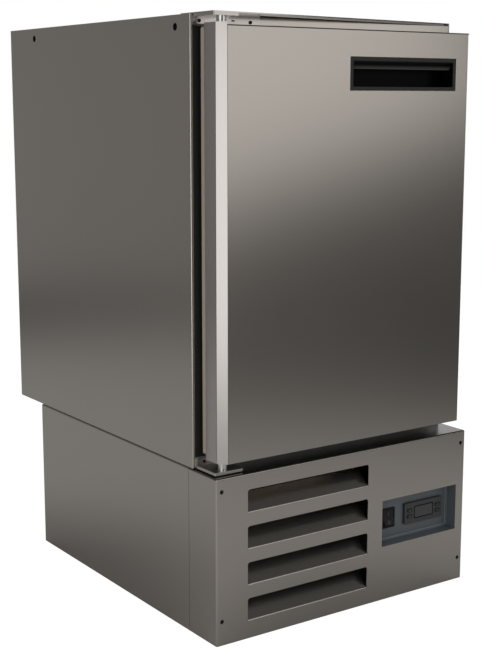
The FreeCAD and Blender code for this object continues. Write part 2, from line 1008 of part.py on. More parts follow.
def shelf_runners():
    """Four angle rails on the liner's side walls that the shelves rest on."""
    span = (cavity_front + shelf_front_gap + runner_end_gap, cover_front - shelf_rear_gap - runner_end_gap)
    runners = []
    for level in range(1, shelf_count + 1):
        seat = shelf_height(level)
        line = [
            (-cavity_half + runner_leg, seat),
            (-cavity_half, seat),
            (-cavity_half, seat - runner_leg),
        ]
        runner = folded("xz", line, runner_sheet, span)
        runners += [runner, mirrored(runner)]
    return Part.makeCompound(runners)


# Fans and coils, used in the cavity and in the base


def blade_section(radius, angle):
    """Section of a fan blade, square to its radius, turned to its blade angle."""
    along = V(0, sin(radians(angle)), cos(radians(angle))) * (blade_chord / 2)
    across = V(0, cos(radians(angle)), -sin(radians(angle))) * (blade_thickness / 2)
    middle = V(radius, 0, 0)
    head = [middle + along + across, middle + along - across]
    tail = [middle - along - across, middle - along + across]
    return Part.makePolygon(head + tail + head[:1])


def axial_fan(centre, hub_radius, tip_radius):
    """Hub with twisted blades, turning on a shaft along Y."""
    front = -fan_depth / 2
    rear = fan_depth / 2
    profile = [
        (shaft_radius + running_clearance, front + fan_front_gap),
        (shaft_radius + running_clearance, rear),
        (hub_radius, rear),
        (hub_radius, front),
        (hub_radius - 2 * blade_thickness, front),
        (hub_radius - 2 * blade_thickness, front + fan_front_gap),
    ]
    pieces = [turned(profile, (0, 0, 0), (0, 1, 0))]
    for i in range(blade_count):
        root = blade_section(hub_radius - blade_thickness, blade_root_angle)
        tip = blade_section(tip_radius, blade_tip_angle)
        blade = Part.makeLoft([root, tip], True, True)
        blade.rotate(V(0, 0, 0), V(0, 1, 0), 360 / blade_count * i)
        inside = rod((0, -blade_chord, 0), (0, blade_chord, 0), hub_radius - blade_thickness)
        pieces.append(blade.cut(inside))
    fan = joined(pieces)
    fan.translate(V(*centre))
    return fan


def fan_motor(centre, radius, length, plate_y, reach):
    """Motor behind a fan: a body, its shaft and four arms on posts that stand on the ring plate."""
    x, y, z = centre
    front = y + fan_depth / 2 + motor_gap
    body = rod((x, front, z), (x, front + length, z), radius)
    shaft = rod((x, y - fan_depth / 2 + fan_front_gap, z), (x, front, z), shaft_radius)
    pieces = [body, shaft]
    arm_y = (front + motor_arm, front + motor_arm + motor_arm_thickness)
    for turn in (45, 135, 225, 315):
        arm = box((x, x + reach), arm_y, (z - motor_arm / 2, z + motor_arm / 2))
        post = box((x + reach - motor_arm_thickness, x + reach), (plate_y, arm_y[1]),
                   (z - motor_arm / 2, z + motor_arm / 2))
        leg = joined([arm, post])
        leg.rotate(V(x, 0, z), V(0, 1, 0), turn)
        pieces.append(leg)
    return joined(pieces)


def finned_block(x, y, z, fins):
    """Upright fins on both sides of the tube bank, drawn as one comb-shaped plan."""
    pitch = (x[1] - x[0] - fin_thickness) / (fins - 1)
    bank = (y[0] + fin_depth, y[1] - fin_depth)
    front = []
    rear = []
    for i in range(fins):
        left = x[0] + i * pitch
        right = left + fin_thickness
        front += [(left, bank[0]), (left, y[0]), (right, y[0]), (right, bank[0])]
        rear += [(left, bank[1]), (left, y[1]), (right, y[1]), (right, bank[1])]
    return prism("xy", front + rear[::-1], z)


def coil(x, y, z, fins, plate_y, plate_z):
    """Finned block between two end plates, with a collector pipe along the right one."""
    pieces = [finned_block(x, y, z, fins)]
    for left in (x[0] - coil_plate, x[1]):
        pieces.append(box((left, left + coil_plate), plate_y, plate_z))
    pipe_x = collector_x(x[1])
    pipe_y = (y[0] + y[1]) / 2
    pipe_z = (z[0] + collector_end_gap, z[1] - collector_end_gap)
    collector = rod((pipe_x, pipe_y, pipe_z[0]), (pipe_x, pipe_y, pipe_z[1]), collector_radius)
    plate_side = box((x[1], pipe_x + collector_radius), plate_y, plate_z)
    pieces.append(collector.common(plate_side))
    return joined(pieces)


def collector_x(block_right):
    """Middle of a coil's collector pipe, which is let into the right end plate."""
    return block_right + collector_radius


# Evaporator compartment


def evaporator_cover():
    """Baffle in front of the evaporator, folded back to the rear wall, with the fan's ring."""
    line = [
        (-cover_half, cavity_rear),
        (-cover_half, cover_front),
        (cover_half, cover_front),
        (cover_half, cavity_rear),
    ]
    baffle = folded("xy", line, sheet, (cavity_bottom + cover_bottom_gap, cavity_top - cover_top_gap))
    ring_end = cover_front + evaporator_ring_depth
    ring = rod((0, cover_front, evaporator_fan_z), (0, ring_end, evaporator_fan_z),
               evaporator_ring_radius + ring_wall)
    mouth = rod((0, cover_front - sheet, evaporator_fan_z), (0, ring_end + sheet, evaporator_fan_z),
                evaporator_ring_radius)
    return joined([baffle, ring]).cut(mouth)


def evaporator_fan_centre():
    """Middle of the evaporator fan, just behind the face of the baffle."""
    return (0, cover_front + fan_front_gap + fan_depth / 2, evaporator_fan_z)


def evaporator_fan_motor():
    """Motor of the evaporator fan, on arms from the baffle."""
    reach = evaporator_ring_radius + ring_wall + motor_arm_margin + motor_arm_thickness
    return fan_motor(
        evaporator_fan_centre(),
        evaporator_motor_radius,
        evaporator_motor_length,
        cover_front + sheet,
        reach,
    )


def evaporator_fan_guard():
    """Moulded guard in front of the evaporator fan: flat rings on four spokes with feet on the baffle."""
    y = (cover_front - guard_stand, cover_front - guard_stand + guard_thickness)
    pieces = []
    for i in range(guard_ring_count):
        inner = guard_inner_radius + i * guard_ring_step
        outer = inner + guard_ring_width
        profile = [(inner, y[0]), (outer, y[0]), (outer, y[1]), (inner, y[1])]
        pieces.append(turned(profile, (0, 0, evaporator_fan_z), (0, 1, 0)))
    side = (evaporator_fan_z - guard_ring_width / 2, evaporator_fan_z + guard_ring_width / 2)
    for turn in (0, 90, 180, 270):
        bar = box((guard_inner_radius + guard_ring_width / 2, guard_foot_radius), y, side)
        foot = box((guard_foot_radius - guard_thickness, guard_foot_radius), (y[0], cover_front), side)
        spoke = joined([bar, foot])
        spoke.rotate(V(0, 0, evaporator_fan_z), V(0, 1, 0), turn)
        pieces.append(spoke)
    return joined(pieces)


def evaporator_coil():
    """Evaporator coil, held off the rear wall by its end plates."""
    x = (-evaporator_coil_half, evaporator_coil_half)
    y = (evaporator_coil_rear - evaporator_coil_depth, evaporator_coil_rear)
    z = (evaporator_coil_base, evaporator_coil_top)
    return coil(x, y, z, evaporator_fins, (y[0], cavity_rear), z)


def drip_tray():
    """Tray under the evaporator coil, with the drain that runs down to the base."""
    x = cavity_half - drip_tray_side_gap
    y = (cavity_rear - drip_tray_depth, cavity_rear)
    top = drip_tray_base + drip_tray_height
    tray = box((-x, x), y, (drip_tray_base, top))
    hollow = box((-x + sheet, x - sheet), (y[0] + sheet, y[1] - sheet), (drip_tray_base + sheet, top))
    drain = rod((drain_x, drain_y, drain_end), (drain_x, drain_y, drip_tray_base + sheet), drain_radius)
    bore = rod((drain_x, drain_y, drain_end), (drain_x, drain_y, top), drain_bore)
    return joined([tray.cut(hollow), drain]).cut(bore)


# Base panels


def base_floor():
    """Floor of the base, turned up along both sides."""
    edge = half - sheet
    line = [(-edge, floor_flange), (-edge, 0), (edge, 0), (edge, floor_flange)]
    return folded("xz", line, floor_sheet, (base_front + sheet + bend, base_rear - sheet))


def base_side_panel():
    """Left side of the base, turned in along the top to carry the cabinet."""
    line = [(-half + base_return, base_height), (-half, base_height), (-half, 0)]
    return folded("xz", line, sheet, (base_seam, base_rear))


def base_rear_panel():
    """Rear of the base with rows of vents, a folded top ledge and the hole for the cable gland."""
    ledge_half = half - base_return
    line = [(base_rear - base_return, base_height), (base_rear, base_height), (base_rear, floor_sheet)]
    middle = folded("yz", line[::-1], sheet, (-ledge_half, ledge_half))
    edge = half - sheet
    top = base_height - sheet - bend
    wall = box((-edge, edge), (base_rear - sheet, base_rear), (floor_sheet, top))
    through = (base_rear - 2 * sheet, base_rear + sheet)
    first_x = -half + vent_side_gap
    step_x = (width - 2 * vent_side_gap - vent_width) / (vent_columns - 1)
    first_z = base_height - vent_drop - vent_step_z * (vent_rows - 1) / 2
    cuts = [rod((gland_x, through[0], gland_z), (gland_x, through[1], gland_z), gland_radius)]
    for column in range(vent_columns):
        for row in range(vent_rows):
            x = first_x + column * step_x
            z = first_z + row * vent_step_z
            cuts.append(box((x, x + vent_width), through, (z, z + vent_height)))
    return joined([middle, wall]).cut(Part.makeCompound(cuts))


def louvre_places():
    """Bottom edge of each louvre."""
    return [louvre_bottom + (louvre_height + louvre_bridge) * i for i in range(louvre_count)]


def louvre_slot(bottom):
    """Slot left in the sheet by one louvre: square at the bend, rounded at the top."""
    top = bottom + louvre_height
    root = bottom - bend
    plan = [(louvre_left, root), (louvre_right, root), (louvre_right, top), (louvre_left, top)]
    radii = [0, 0, louvre_corner, louvre_corner]
    return prism("xz", plan, (base_front - sheet, base_front + 2 * sheet), radii)


def louvre_tongue(bottom):
    """Flap of one louvre, bent inwards about the slot's bottom edge."""
    flap = louvre_height - louvre_flap_gap
    rise = flap * sin(radians(louvre_angle))
    run = flap * cos(radians(louvre_angle))
    line = [(base_front + run, bottom + rise), (base_front, bottom), (base_front, bottom - louvre_root)]
    return folded("yz", line, sheet, (louvre_left + louvre_slit, louvre_right - louvre_slit))


def front_pan(inset):
    """Block inside the front panel, smaller by a sheet thickness and open behind and below."""
    block = box(
        (-half + inset, half - inset),
        (base_front + inset, base_seam - seam + inset),
        (-inset, base_height - inset),
    )
    front = base_front + inset
    rounded = edges_at(
        block,
        lambda c: (near(c.y, front) and not near(c.z, -inset))
        or (near(c.z, base_height - inset) and near(abs(c.x), half - inset)),
    )
    return block.makeFillet(bend + sheet - inset, rounded)


def front_panel():
    """Folded front panel of the base, with pressed louvres and the control panel cut-out."""
    panel = front_pan(0).cut(front_pan(sheet))
    panel = panel.cut(Part.makeCompound([louvre_slot(bottom) for bottom in louvre_places()]))
    panel = joined([panel] + [louvre_tongue(bottom) for bottom in louvre_places()])
    cutout = box(
        (panel_left, panel_right),
        (base_front - sheet, base_front + 2 * sheet),
        (panel_bottom, panel_top),
    )
    return panel.cut(cutout).cut(front_panel_screws())


def front_panel_screws():
    """Countersunk screws, flush with the front panel."""
    screws = []
    length = (base_front, base_front + panel_screw_head, base_front + panel_screw_length)
    profile = [
        (0, length[0]),
        (panel_screw_head_radius, length[0]),
        (panel_screw_radius, length[1]),
        (panel_screw_radius, length[2]),
        (0, length[2]),
    ]
    for side in (-1, 1):
        for z in (panel_screw_rise, base_height - panel_screw_drop):
            screws.append(turned(profile, (side * (half - panel_screw_inset), 0, z), (0, 1, 0)))
    return Part.makeCompound(screws)


def front_posts():
    """Two angle posts on the base floor that the front panel screws into."""
    right = half - post_inset
    left = right - post_width
    front = base_front + sheet
    line = [(left, front + post_leg), (left, front), (right, front)]
    post = folded("xy", line, post_sheet, (floor_sheet, base_height - sheet - bend)).cut(front_panel_screws())
    return Part.makeCompound([post, mirrored(post)])


def base_seal():
    """Foam strip on top of the base that the cabinet stands on."""
    edge = half - seal_inset
    span = (base_height, cabinet_bottom)
    y = (cabinet_front + seal_inset, base_rear - seal_inset)
    outer = box((-edge, edge), y, span)
    inner = box((-edge + seal_width, edge - seal_width), (y[0] + seal_width, y[1] - seal_width), span)
    return outer.cut(inner)


# Control panel


def control_box():
    """Recess behind the front panel's cut-out, with a back plate that holds the controls."""
    front = base_front + sheet
    outer = box(
        (panel_left - panel_wall, panel_right + panel_wall),
        (front, panel_back_y + panel_back),
        (panel_bottom - panel_wall, panel_top + panel_wall),
    )
    flange = box(
        (panel_left - panel_wall, panel_right + panel_wall),
        (front, front + panel_wall),
        (panel_bottom - panel_flange, panel_top + panel_flange),
    )
    recess = box((panel_left, panel_right), (front, panel_back_y), (panel_bottom, panel_top))
    recess = recess.makeFillet(panel_cove, edges_at(recess, lambda c: near(c.y, panel_back_y)))
    return joined([outer, flange]).cut(recess).cut(controller_body()).cut(switch_body())


def controller_body():
    """Part of the controller that passes through the back plate."""
    x = controller_width / 2 - controller_body_margin
    z = controller_height / 2 - controller_body_rise
    return box(
        (controller_x - x, controller_x + x),
        (panel_back_y, panel_back_y + controller_body_length),
        (controller_z - z, controller_z + z),
    )


def key_places():
    """Middle of each controller key, as (name, x, z)."""
    return [
        ("set_key", controller_x - key_offset_x, controller_z + key_offset_z),
        ("defrost_key", controller_x - key_offset_x, controller_z - key_offset_z),
        ("up_key", controller_x + key_offset_x, controller_z + key_offset_z),
        ("down_key", controller_x + key_offset_x, controller_z - key_offset_z),
    ]


def key_block(x, z, y, grow):
    """Rounded key outline over a depth, larger all round by a clearance."""
    return rounded_block(
        "xz",
        (x - key_width / 2 - grow, x + key_width / 2 + grow),
        (z - key_height / 2 - grow, z + key_height / 2 + grow),
        y,
        key_round + grow,
    )


def controller_key(x, z):
    """One key of the controller, standing a little proud of the bezel."""
    return key_block(x, z, (controller_front - key_proud, controller_front + key_depth), 0)


def display_block(depth, grow):
    """Outline of the display window over a depth."""
    x = display_width / 2 + grow
    z = display_height / 2 + grow
    return rounded_block(
        "xz",
        (controller_x - x, controller_x + x),
        (controller_z - z, controller_z + z),
        (controller_front, controller_front + depth),
        display_round + grow,
    )


def controller():
    """Controller with a rounded bezel, a seat for its window and pockets for its keys."""
    x = controller_width / 2
    z = controller_height / 2
    bezel = rounded_block(
        "xz",
        (controller_x - x, controller_x + x),
        (controller_z - z, controller_z + z),
        (controller_front, panel_back_y),
        controller_round,
    )
    rim = edges_at(bezel, lambda c: near(c.y, controller_front))
    bezel = bezel.makeChamfer(bezel_chamfer, rim)
    pocket_end = controller_front + key_depth + key_travel + key_gap
    depth = (controller_front - key_proud, pocket_end)
    pockets = [key_block(key_x, key_z, depth, key_gap) for _, key_x, key_z in key_places()]
    window = display_block(display_depth, display_gap)
    return joined([bezel, controller_body()]).cut(Part.makeCompound(pockets)).cut(window)


def display_window():
    """Tinted window over the digits."""
    return display_block(display_depth, 0)


def switch_body():
    """Part of the rocker switch that passes through the back plate."""
    x = switch_width / 2 - switch_body_margin
    z = switch_height / 2 - switch_body_margin
    return box(
        (switch_x - x, switch_x + x),
        (panel_back_y, panel_back_y + switch_body_length),
        (switch_z - z, switch_z + z),
    )


def switch_housing():
    """Housing of the rocker switch: a rounded bezel and a box with a well for the rocker."""
    x = switch_width / 2
    z = switch_height / 2
    bezel = rounded_block(
        "xz",
        (switch_x - x, switch_x + x),
        (switch_z - z, switch_z + z),
        (switch_front, panel_back_y),
        switch_round,
    )
    rim = edges_at(bezel, lambda c: near(c.y, switch_front))
    bezel = bezel.makeChamfer(bezel_chamfer, rim)
    well_x = rocker_width / 2 + rocker_gap
    well_z = rocker_radius + rocker_gap
    well = box(
        (switch_x - well_x, switch_x + well_x),
        (switch_front - sheet, rocker_pivot_y + rocker_radius + rocker_gap),
        (switch_z - well_z, switch_z + well_z),
    )
    return joined([bezel, switch_body()]).cut(well)


def switch_rocker():
    """Rocker with a shallow dished face, resting with its upper end pressed."""
    face = switch_front - rocker_proud
    dip = switch_front + rocker_dip
    tip = rocker_radius
    back = rocker_pivot_y + rocker_back
    outline = [
        (face, switch_z + tip),
        (dip, switch_z),
        (face, switch_z - tip),
        (back, switch_z - tip),
        (back, switch_z + tip),
    ]
    span = (switch_x - rocker_width / 2, switch_x + rocker_width / 2)
    drum = rod((span[0], rocker_pivot_y, switch_z), (span[1], rocker_pivot_y, switch_z), rocker_radius)
    rocker = prism("yz", outline, span).common(drum)
    rocker.rotate(V(switch_x, rocker_pivot_y, switch_z), V(1, 0, 0), -rocker_tilt)
    return rocker


# Machinery in the base


def condenser_coil():
    """Condenser behind the louvres, standing on its end plates."""
    z = (condenser_base, condenser_top)
    y = (condenser_front, condenser_rear)
    x = (condenser_left, condenser_right)
    return coil(x, y, z, condenser_fins, y, (floor_sheet, z[1]))


def condenser_shroud():
    """Box behind the condenser that narrows to the fan's ring."""
    x = (condenser_left - coil_plate, condenser_right + coil_plate)
    z = (floor_sheet, condenser_top)
    hood = box(x, (condenser_rear, shroud_rear), z)
    plate = shroud_rear - sheet
    hollow = box((x[0] + sheet, x[1] - sheet), (condenser_rear, plate), (z[0] + sheet, z[1] - sheet))
    front = (condenser_fan_x, plate, condenser_fan_z)
    end = (condenser_fan_x, plate + condenser_ring_depth, condenser_fan_z)
    ring = rod(front, end, condenser_ring_radius + ring_wall)
    mouth = rod(front, end, condenser_ring_radius)
    return joined([hood.cut(hollow), ring]).cut(mouth)


def condenser_fan_centre():
    """Middle of the condenser fan, inside the shroud's ring."""
    return (condenser_fan_x, shroud_rear + fan_front_gap + fan_depth / 2, condenser_fan_z)


def condenser_fan_motor():
    """Motor of the condenser fan, on arms from the shroud."""
    reach = condenser_ring_radius + ring_wall + motor_arm_margin + motor_arm_thickness
    return fan_motor(
        condenser_fan_centre(),
        condenser_motor_radius,
        condenser_motor_length,
        shroud_rear,
        reach,
    )


def compressor_shell():
    """Hermetic compressor: two halves with bevelled shoulders that meet at a welded lip."""
    r = compressor_radius
    middle = compressor_height / 2
    lip = compressor_lip_height / 2
    shoulder = compressor_shoulder
    profile = [
        (0, 0),
        (r - shoulder, 0),
        (r, shoulder),
        (r, middle - lip),
        (r + compressor_lip, middle - lip),
        (r + compressor_lip, middle + lip),
        (r, middle + lip),
        (r, compressor_height - shoulder),
        (r - shoulder, compressor_height),
        (0, compressor_height),
    ]
    return turned(profile, (compressor_x, compressor_y, shell_bottom), (0, 0, 1))


def grommet_places():
    """The four corners where the compressor stands on rubber."""
    places = []
    for x in (-grommet_spacing_x / 2, grommet_spacing_x / 2):
        for y in (-grommet_spacing_y / 2, grommet_spacing_y / 2):
            places.append((compressor_x + x, compressor_y + y))
    return places


def compressor_baseplate():
    """Foot plate under the compressor, with a hole for each grommet."""
    x = compressor_plate_width / 2
    y = compressor_plate_depth / 2
    z = (shell_bottom - compressor_plate, shell_bottom)
    plate = rounded_block(
        "xy",
        (compressor_x - x, compressor_x + x),
        (compressor_y - y, compressor_y + y),
        z,
        compressor_plate_round,
    )
    holes = [rod((gx, gy, z[0]), (gx, gy, z[1]), grommet_neck_radius) for gx, gy in grommet_places()]
    return plate.cut(Part.makeCompound(holes))


def compressor_grommets():
    """Rubber grommets between the foot plate and the base floor."""
    plate_bottom = shell_bottom - compressor_plate - floor_sheet
    profile = [
        (0, 0),
        (grommet_radius, 0),
        (grommet_radius, plate_bottom),
        (grommet_neck_radius, plate_bottom),
        (grommet_neck_radius, plate_bottom + compressor_plate),
        (0, plate_bottom + compressor_plate),
    ]
    return Part.makeCompound([turned(profile, (x, y, floor_sheet), (0, 0, 1)) for x, y in grommet_places()])


def terminal_cover():
    """Cover of the compressor's electrical terminals, on the shell's right side."""
    outer = compressor_x + compressor_radius + terminal_depth
    z = shell_bottom + terminal_height_at
    cover = rounded_block(
        "yz",
        (compressor_y - terminal_width / 2, compressor_y + terminal_width / 2),
        (z - terminal_height / 2, z + terminal_height / 2),
        (compressor_x, outer),
        terminal_round,
    )
    return cover.cut(compressor_shell())


# Refrigerant circuit


def drier_start():
    """Front end of the filter drier's neck, ahead of the compressor's base plate."""
    end = compressor_y - compressor_plate_depth / 2 - drier_compressor_gap
    return (compressor_x, end - drier_length, line_height)


def filter_drier():
    """Filter drier: a can necked down at both ends, lying along Y."""
    x, y, z = drier_start()
    profile = [
        (0, 0),
        (line_radius + sheet, 0),
        (drier_radius, drier_neck),
        (drier_radius, drier_length - drier_neck),
        (line_radius + sheet, drier_length),
        (0, drier_length),
    ]
    return turned(profile, (x, y, z), (0, 1, 0))


def copper_lines():
    """Discharge, liquid, capillary and suction lines, shaped to the pipes and shells they are brazed to."""
    outlet = collector_x(condenser_right)
    bank = (condenser_front + condenser_rear) / 2
    inlet_height = condenser_top - 2 * line_bend
    x, drier_y, z = drier_start()
    drier_end = drier_y + drier_length
    capillary_front = compressor_y - compressor_plate_depth / 2 - capillary_front_gap
    coil_inlet = collector_x(evaporator_coil_half)
    suction_top = evaporator_coil_base + suction_entry
    capillary_top = evaporator_coil_base + capillary_entry
    discharge = pipe(
        [
            (x, compressor_y, discharge_height),
            (x, bank, discharge_height),
            (x, bank, inlet_height),
            (outlet, bank, inlet_height),
        ],
        line_radius,
        line_bend,
    )
    liquid = pipe([(outlet, bank, z), (x, bank, z), (x, drier_y, z)], line_radius, line_bend)
    capillary = pipe(
        [
            (x, drier_end, z),
            (x, capillary_front, z),
            (capillary_x, capillary_front, z),
            (capillary_x, capillary_y, z),
            (capillary_x, capillary_y, capillary_top),
            (coil_inlet, capillary_y, capillary_top),
        ],
        capillary_radius,
        capillary_bend,
    )
    suction = pipe(
        [
            (x, compressor_y, suction_height),
            (x, suction_y, suction_height),
            (suction_x, suction_y, suction_height),
            (suction_x, suction_y, suction_top),
            (coil_inlet, suction_y, suction_top),
        ],
        line_radius,
        line_bend,
    )
    ends = Part.makeCompound([compressor_shell(), condenser_coil(), evaporator_coil()])
    return Part.makeCompound([line.cut(ends) for line in (discharge, liquid, capillary, suction)])


# Other pieces in the base


def junction_box():
    """Wiring box on the base floor, with an overlapping lid."""
    right = half - junction_right_inset
    x = (right - junction_width, right)
    front = base_front + junction_front_gap
    y = (front, front + junction_depth)
    lid_bottom = floor_sheet + junction_height - junction_lid
    case = rounded_block("xy", x, y, (floor_sheet, lid_bottom), junction_round)
    lid = rounded_block(
        "xy",
        (x[0] - sheet, x[1] + sheet),
        (y[0] - sheet, y[1] + sheet),
        (lid_bottom, lid_bottom + junction_lid),
        junction_round,
    )
    return joined([case, lid])


def cable_gland():
    """Gland in the rear panel for the supply lead."""
    inner = base_rear - sheet
    profile = [
        (gland_bore, inner - gland_flange),
        (gland_flange_radius, inner - gland_flange),
        (gland_flange_radius, inner),
        (gland_radius, inner),
        (gland_radius, base_rear),
        (gland_flange_radius, base_rear),
        (gland_flange_radius, base_rear + gland_flange),
        (gland_nose_radius, base_rear + gland_flange),
        (gland_bore + sheet, base_rear + gland_flange + gland_nose),
        (gland_bore, base_rear + gland_flange + gland_nose),
    ]
    return turned(profile, (gland_x, 0, gland_z), (0, 1, 0))


def condensate_tray():
    """Open tray on the base floor that catches the drain water."""
    plate_left = compressor_x - compressor_plate_width / 2
    x = (-half + tray_left_inset, plate_left - tray_compressor_gap)
    y = (base_rear - tray_rear_gap - tray_depth, base_rear - tray_rear_gap)
    z = (floor_sheet, floor_sheet + tray_height)
    hollow = box(
        (x[0] + tray_wall, x[1] - tray_wall),
        (y[0] + tray_wall, y[1] - tray_wall),
        (z[0] + tray_wall, z[1]),
    )
    return box(x, y, z).cut(hollow)


def build():
    """Every piece of the freezer counter by name."""
    left = side_panel()
    base_left = base_side_panel()
    pieces = {
        "left_side_panel": left,
        "right_side_panel": mirrored(left),
        "top_panel": top_panel(),
        "back_panel": back_panel(),
        "bottom_panel": bottom_panel(),
        "insulation": insulation(),
        "joining_inserts": joining_inserts(),
        "inner_liner": inner_liner(),
        "breaker_frame": breaker_frame(),
        "top_hinge_bracket": top_hinge_bracket(),
        "bottom_hinge_bracket": bottom_hinge_bracket(),
        "top_gusset": top_gusset(),
        "hinge_pins": hinge_pins(),
        "hinge_screws": hinge_screws(),
        "shelf_runners": shelf_runners(),
        "lower_shelf": wire_shelf(1),
        "upper_shelf": wire_shelf(shelf_count),
        "evaporator_cover": evaporator_cover(),
        "evaporator_coil": evaporator_coil(),
        "evaporator_fan": axial_fan(evaporator_fan_centre(), evaporator_hub_radius, evaporator_tip_radius),
        "evaporator_fan_motor": evaporator_fan_motor(),
        "evaporator_fan_guard": evaporator_fan_guard(),
        "drip_tray": drip_tray(),
        "base_floor": base_floor(),
        "base_left_panel": base_left,
        "base_right_panel": mirrored(base_left),
        "base_rear_panel": base_rear_panel(),
        "front_panel": front_panel(),
        "front_panel_screws": front_panel_screws(),
        "front_posts": front_posts(),
        "base_seal": base_seal(),
        "control_box": control_box(),
        "controller": controller(),
        "display_window": display_window(),
        "switch_housing": switch_housing(),
        "switch_rocker": switch_rocker(),
        "condenser_coil": condenser_coil(),
        "condenser_shroud": condenser_shroud(),
        "condenser_fan": axial_fan(condenser_fan_centre(), condenser_hub_radius, condenser_tip_radius),
        "condenser_fan_motor": condenser_fan_motor(),
        "compressor_shell": compressor_shell(),
        "compressor_baseplate": compressor_baseplate(),
        "compressor_grommets": compressor_grommets(),
        "terminal_cover": terminal_cover(),
        "filter_drier": filter_drier(),
        "copper_lines": copper_lines(),
        "junction_box": junction_box(),
        "cable_gland": cable_gland(),
        "condensate_tray": condensate_tray(),
        "door_skin": door_skin(),
        "hinge_stile": hinge_stile(),
        "door_foam": door_foam(),
        "door_liner": door_liner(),
        "door_gasket": door_gasket(),
        "handle_cup": handle_cup(),
        "pivot_bushes": pivot_bushes(),
    }
    for name, x, z in key_places():
        pieces[name] = controller_key(x, z)
    return pieces


os.makedirs("parts", exist_ok=True)
for node, shape in build().items():
    shape.exportStep("parts/" + node + ".step")
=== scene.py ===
from math import copysign, cos, pi, radians, sin

import bmesh
import bpy
from bpy.props import FloatProperty, FloatVectorProperty, PointerProperty
from mathutils import Matrix, Quaternion, Vector


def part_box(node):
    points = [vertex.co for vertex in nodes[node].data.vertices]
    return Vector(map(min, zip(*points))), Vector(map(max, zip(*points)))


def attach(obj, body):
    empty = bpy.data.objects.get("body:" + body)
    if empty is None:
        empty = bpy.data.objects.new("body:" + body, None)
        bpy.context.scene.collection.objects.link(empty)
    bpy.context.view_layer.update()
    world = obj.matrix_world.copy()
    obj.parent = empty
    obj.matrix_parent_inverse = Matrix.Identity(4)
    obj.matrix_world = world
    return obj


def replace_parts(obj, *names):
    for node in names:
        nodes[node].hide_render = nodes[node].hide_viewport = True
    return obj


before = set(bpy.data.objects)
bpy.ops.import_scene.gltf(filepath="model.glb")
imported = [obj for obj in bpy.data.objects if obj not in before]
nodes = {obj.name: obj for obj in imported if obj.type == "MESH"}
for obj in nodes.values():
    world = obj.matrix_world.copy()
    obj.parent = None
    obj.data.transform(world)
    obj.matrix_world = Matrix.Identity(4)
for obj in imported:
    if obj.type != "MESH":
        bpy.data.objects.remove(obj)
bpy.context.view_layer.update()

bl_info = {
    "name": "Freezer Counter",
    "version": (1, 0, 0),
    "blender": (4, 5, 0),
    "location": "View3D > Sidebar > Freezer Counter",
    "description": "Finishes, small fittings and studio for a one-door freezer counter",
    "category": "Object",
}

# Grain directions, in noise cells per metre along X, Y and Z
upright_grain = (900.0, 900.0, 18.0)
level_grain = (18.0, 18.0, 900.0)
front_to_back_grain = (900.0, 18.0, 900.0)

# Depth of a finish's relief, in metres
brushed_relief = 0.0000003
moulded_relief = 0.00003
zinc_relief = 0.00001

# Vertices closer than this, in metres, are merged
merge_distance = 0.000001


# Properties


def colour(label, text, value):
    """Colour that a user can change."""
    return FloatVectorProperty(
        name=label, description=text, default=value, size=3, min=0, max=1, subtype="COLOR"
    )


def length(label, text, value):
    """Length that a user can change."""
    return FloatProperty(name=label, description=text, default=value, min=0, unit="LENGTH", precision=5)


def share(label, text, value):
    """Share between 0 and 1 that a user can change."""
    return FloatProperty(name=label, description=text, default=value, min=0, max=1, subtype="FACTOR")


def place(label, text, value):
    """Point in the counter's own frame that a user can change."""
    return FloatVectorProperty(
        name=label, description=text, default=value, size=3, subtype="TRANSLATION", unit="LENGTH"
    )


def power(label, text, value):
    """Power of a lamp that a user can change."""
    return FloatProperty(name=label, description=text, default=value, min=0, unit="POWER")


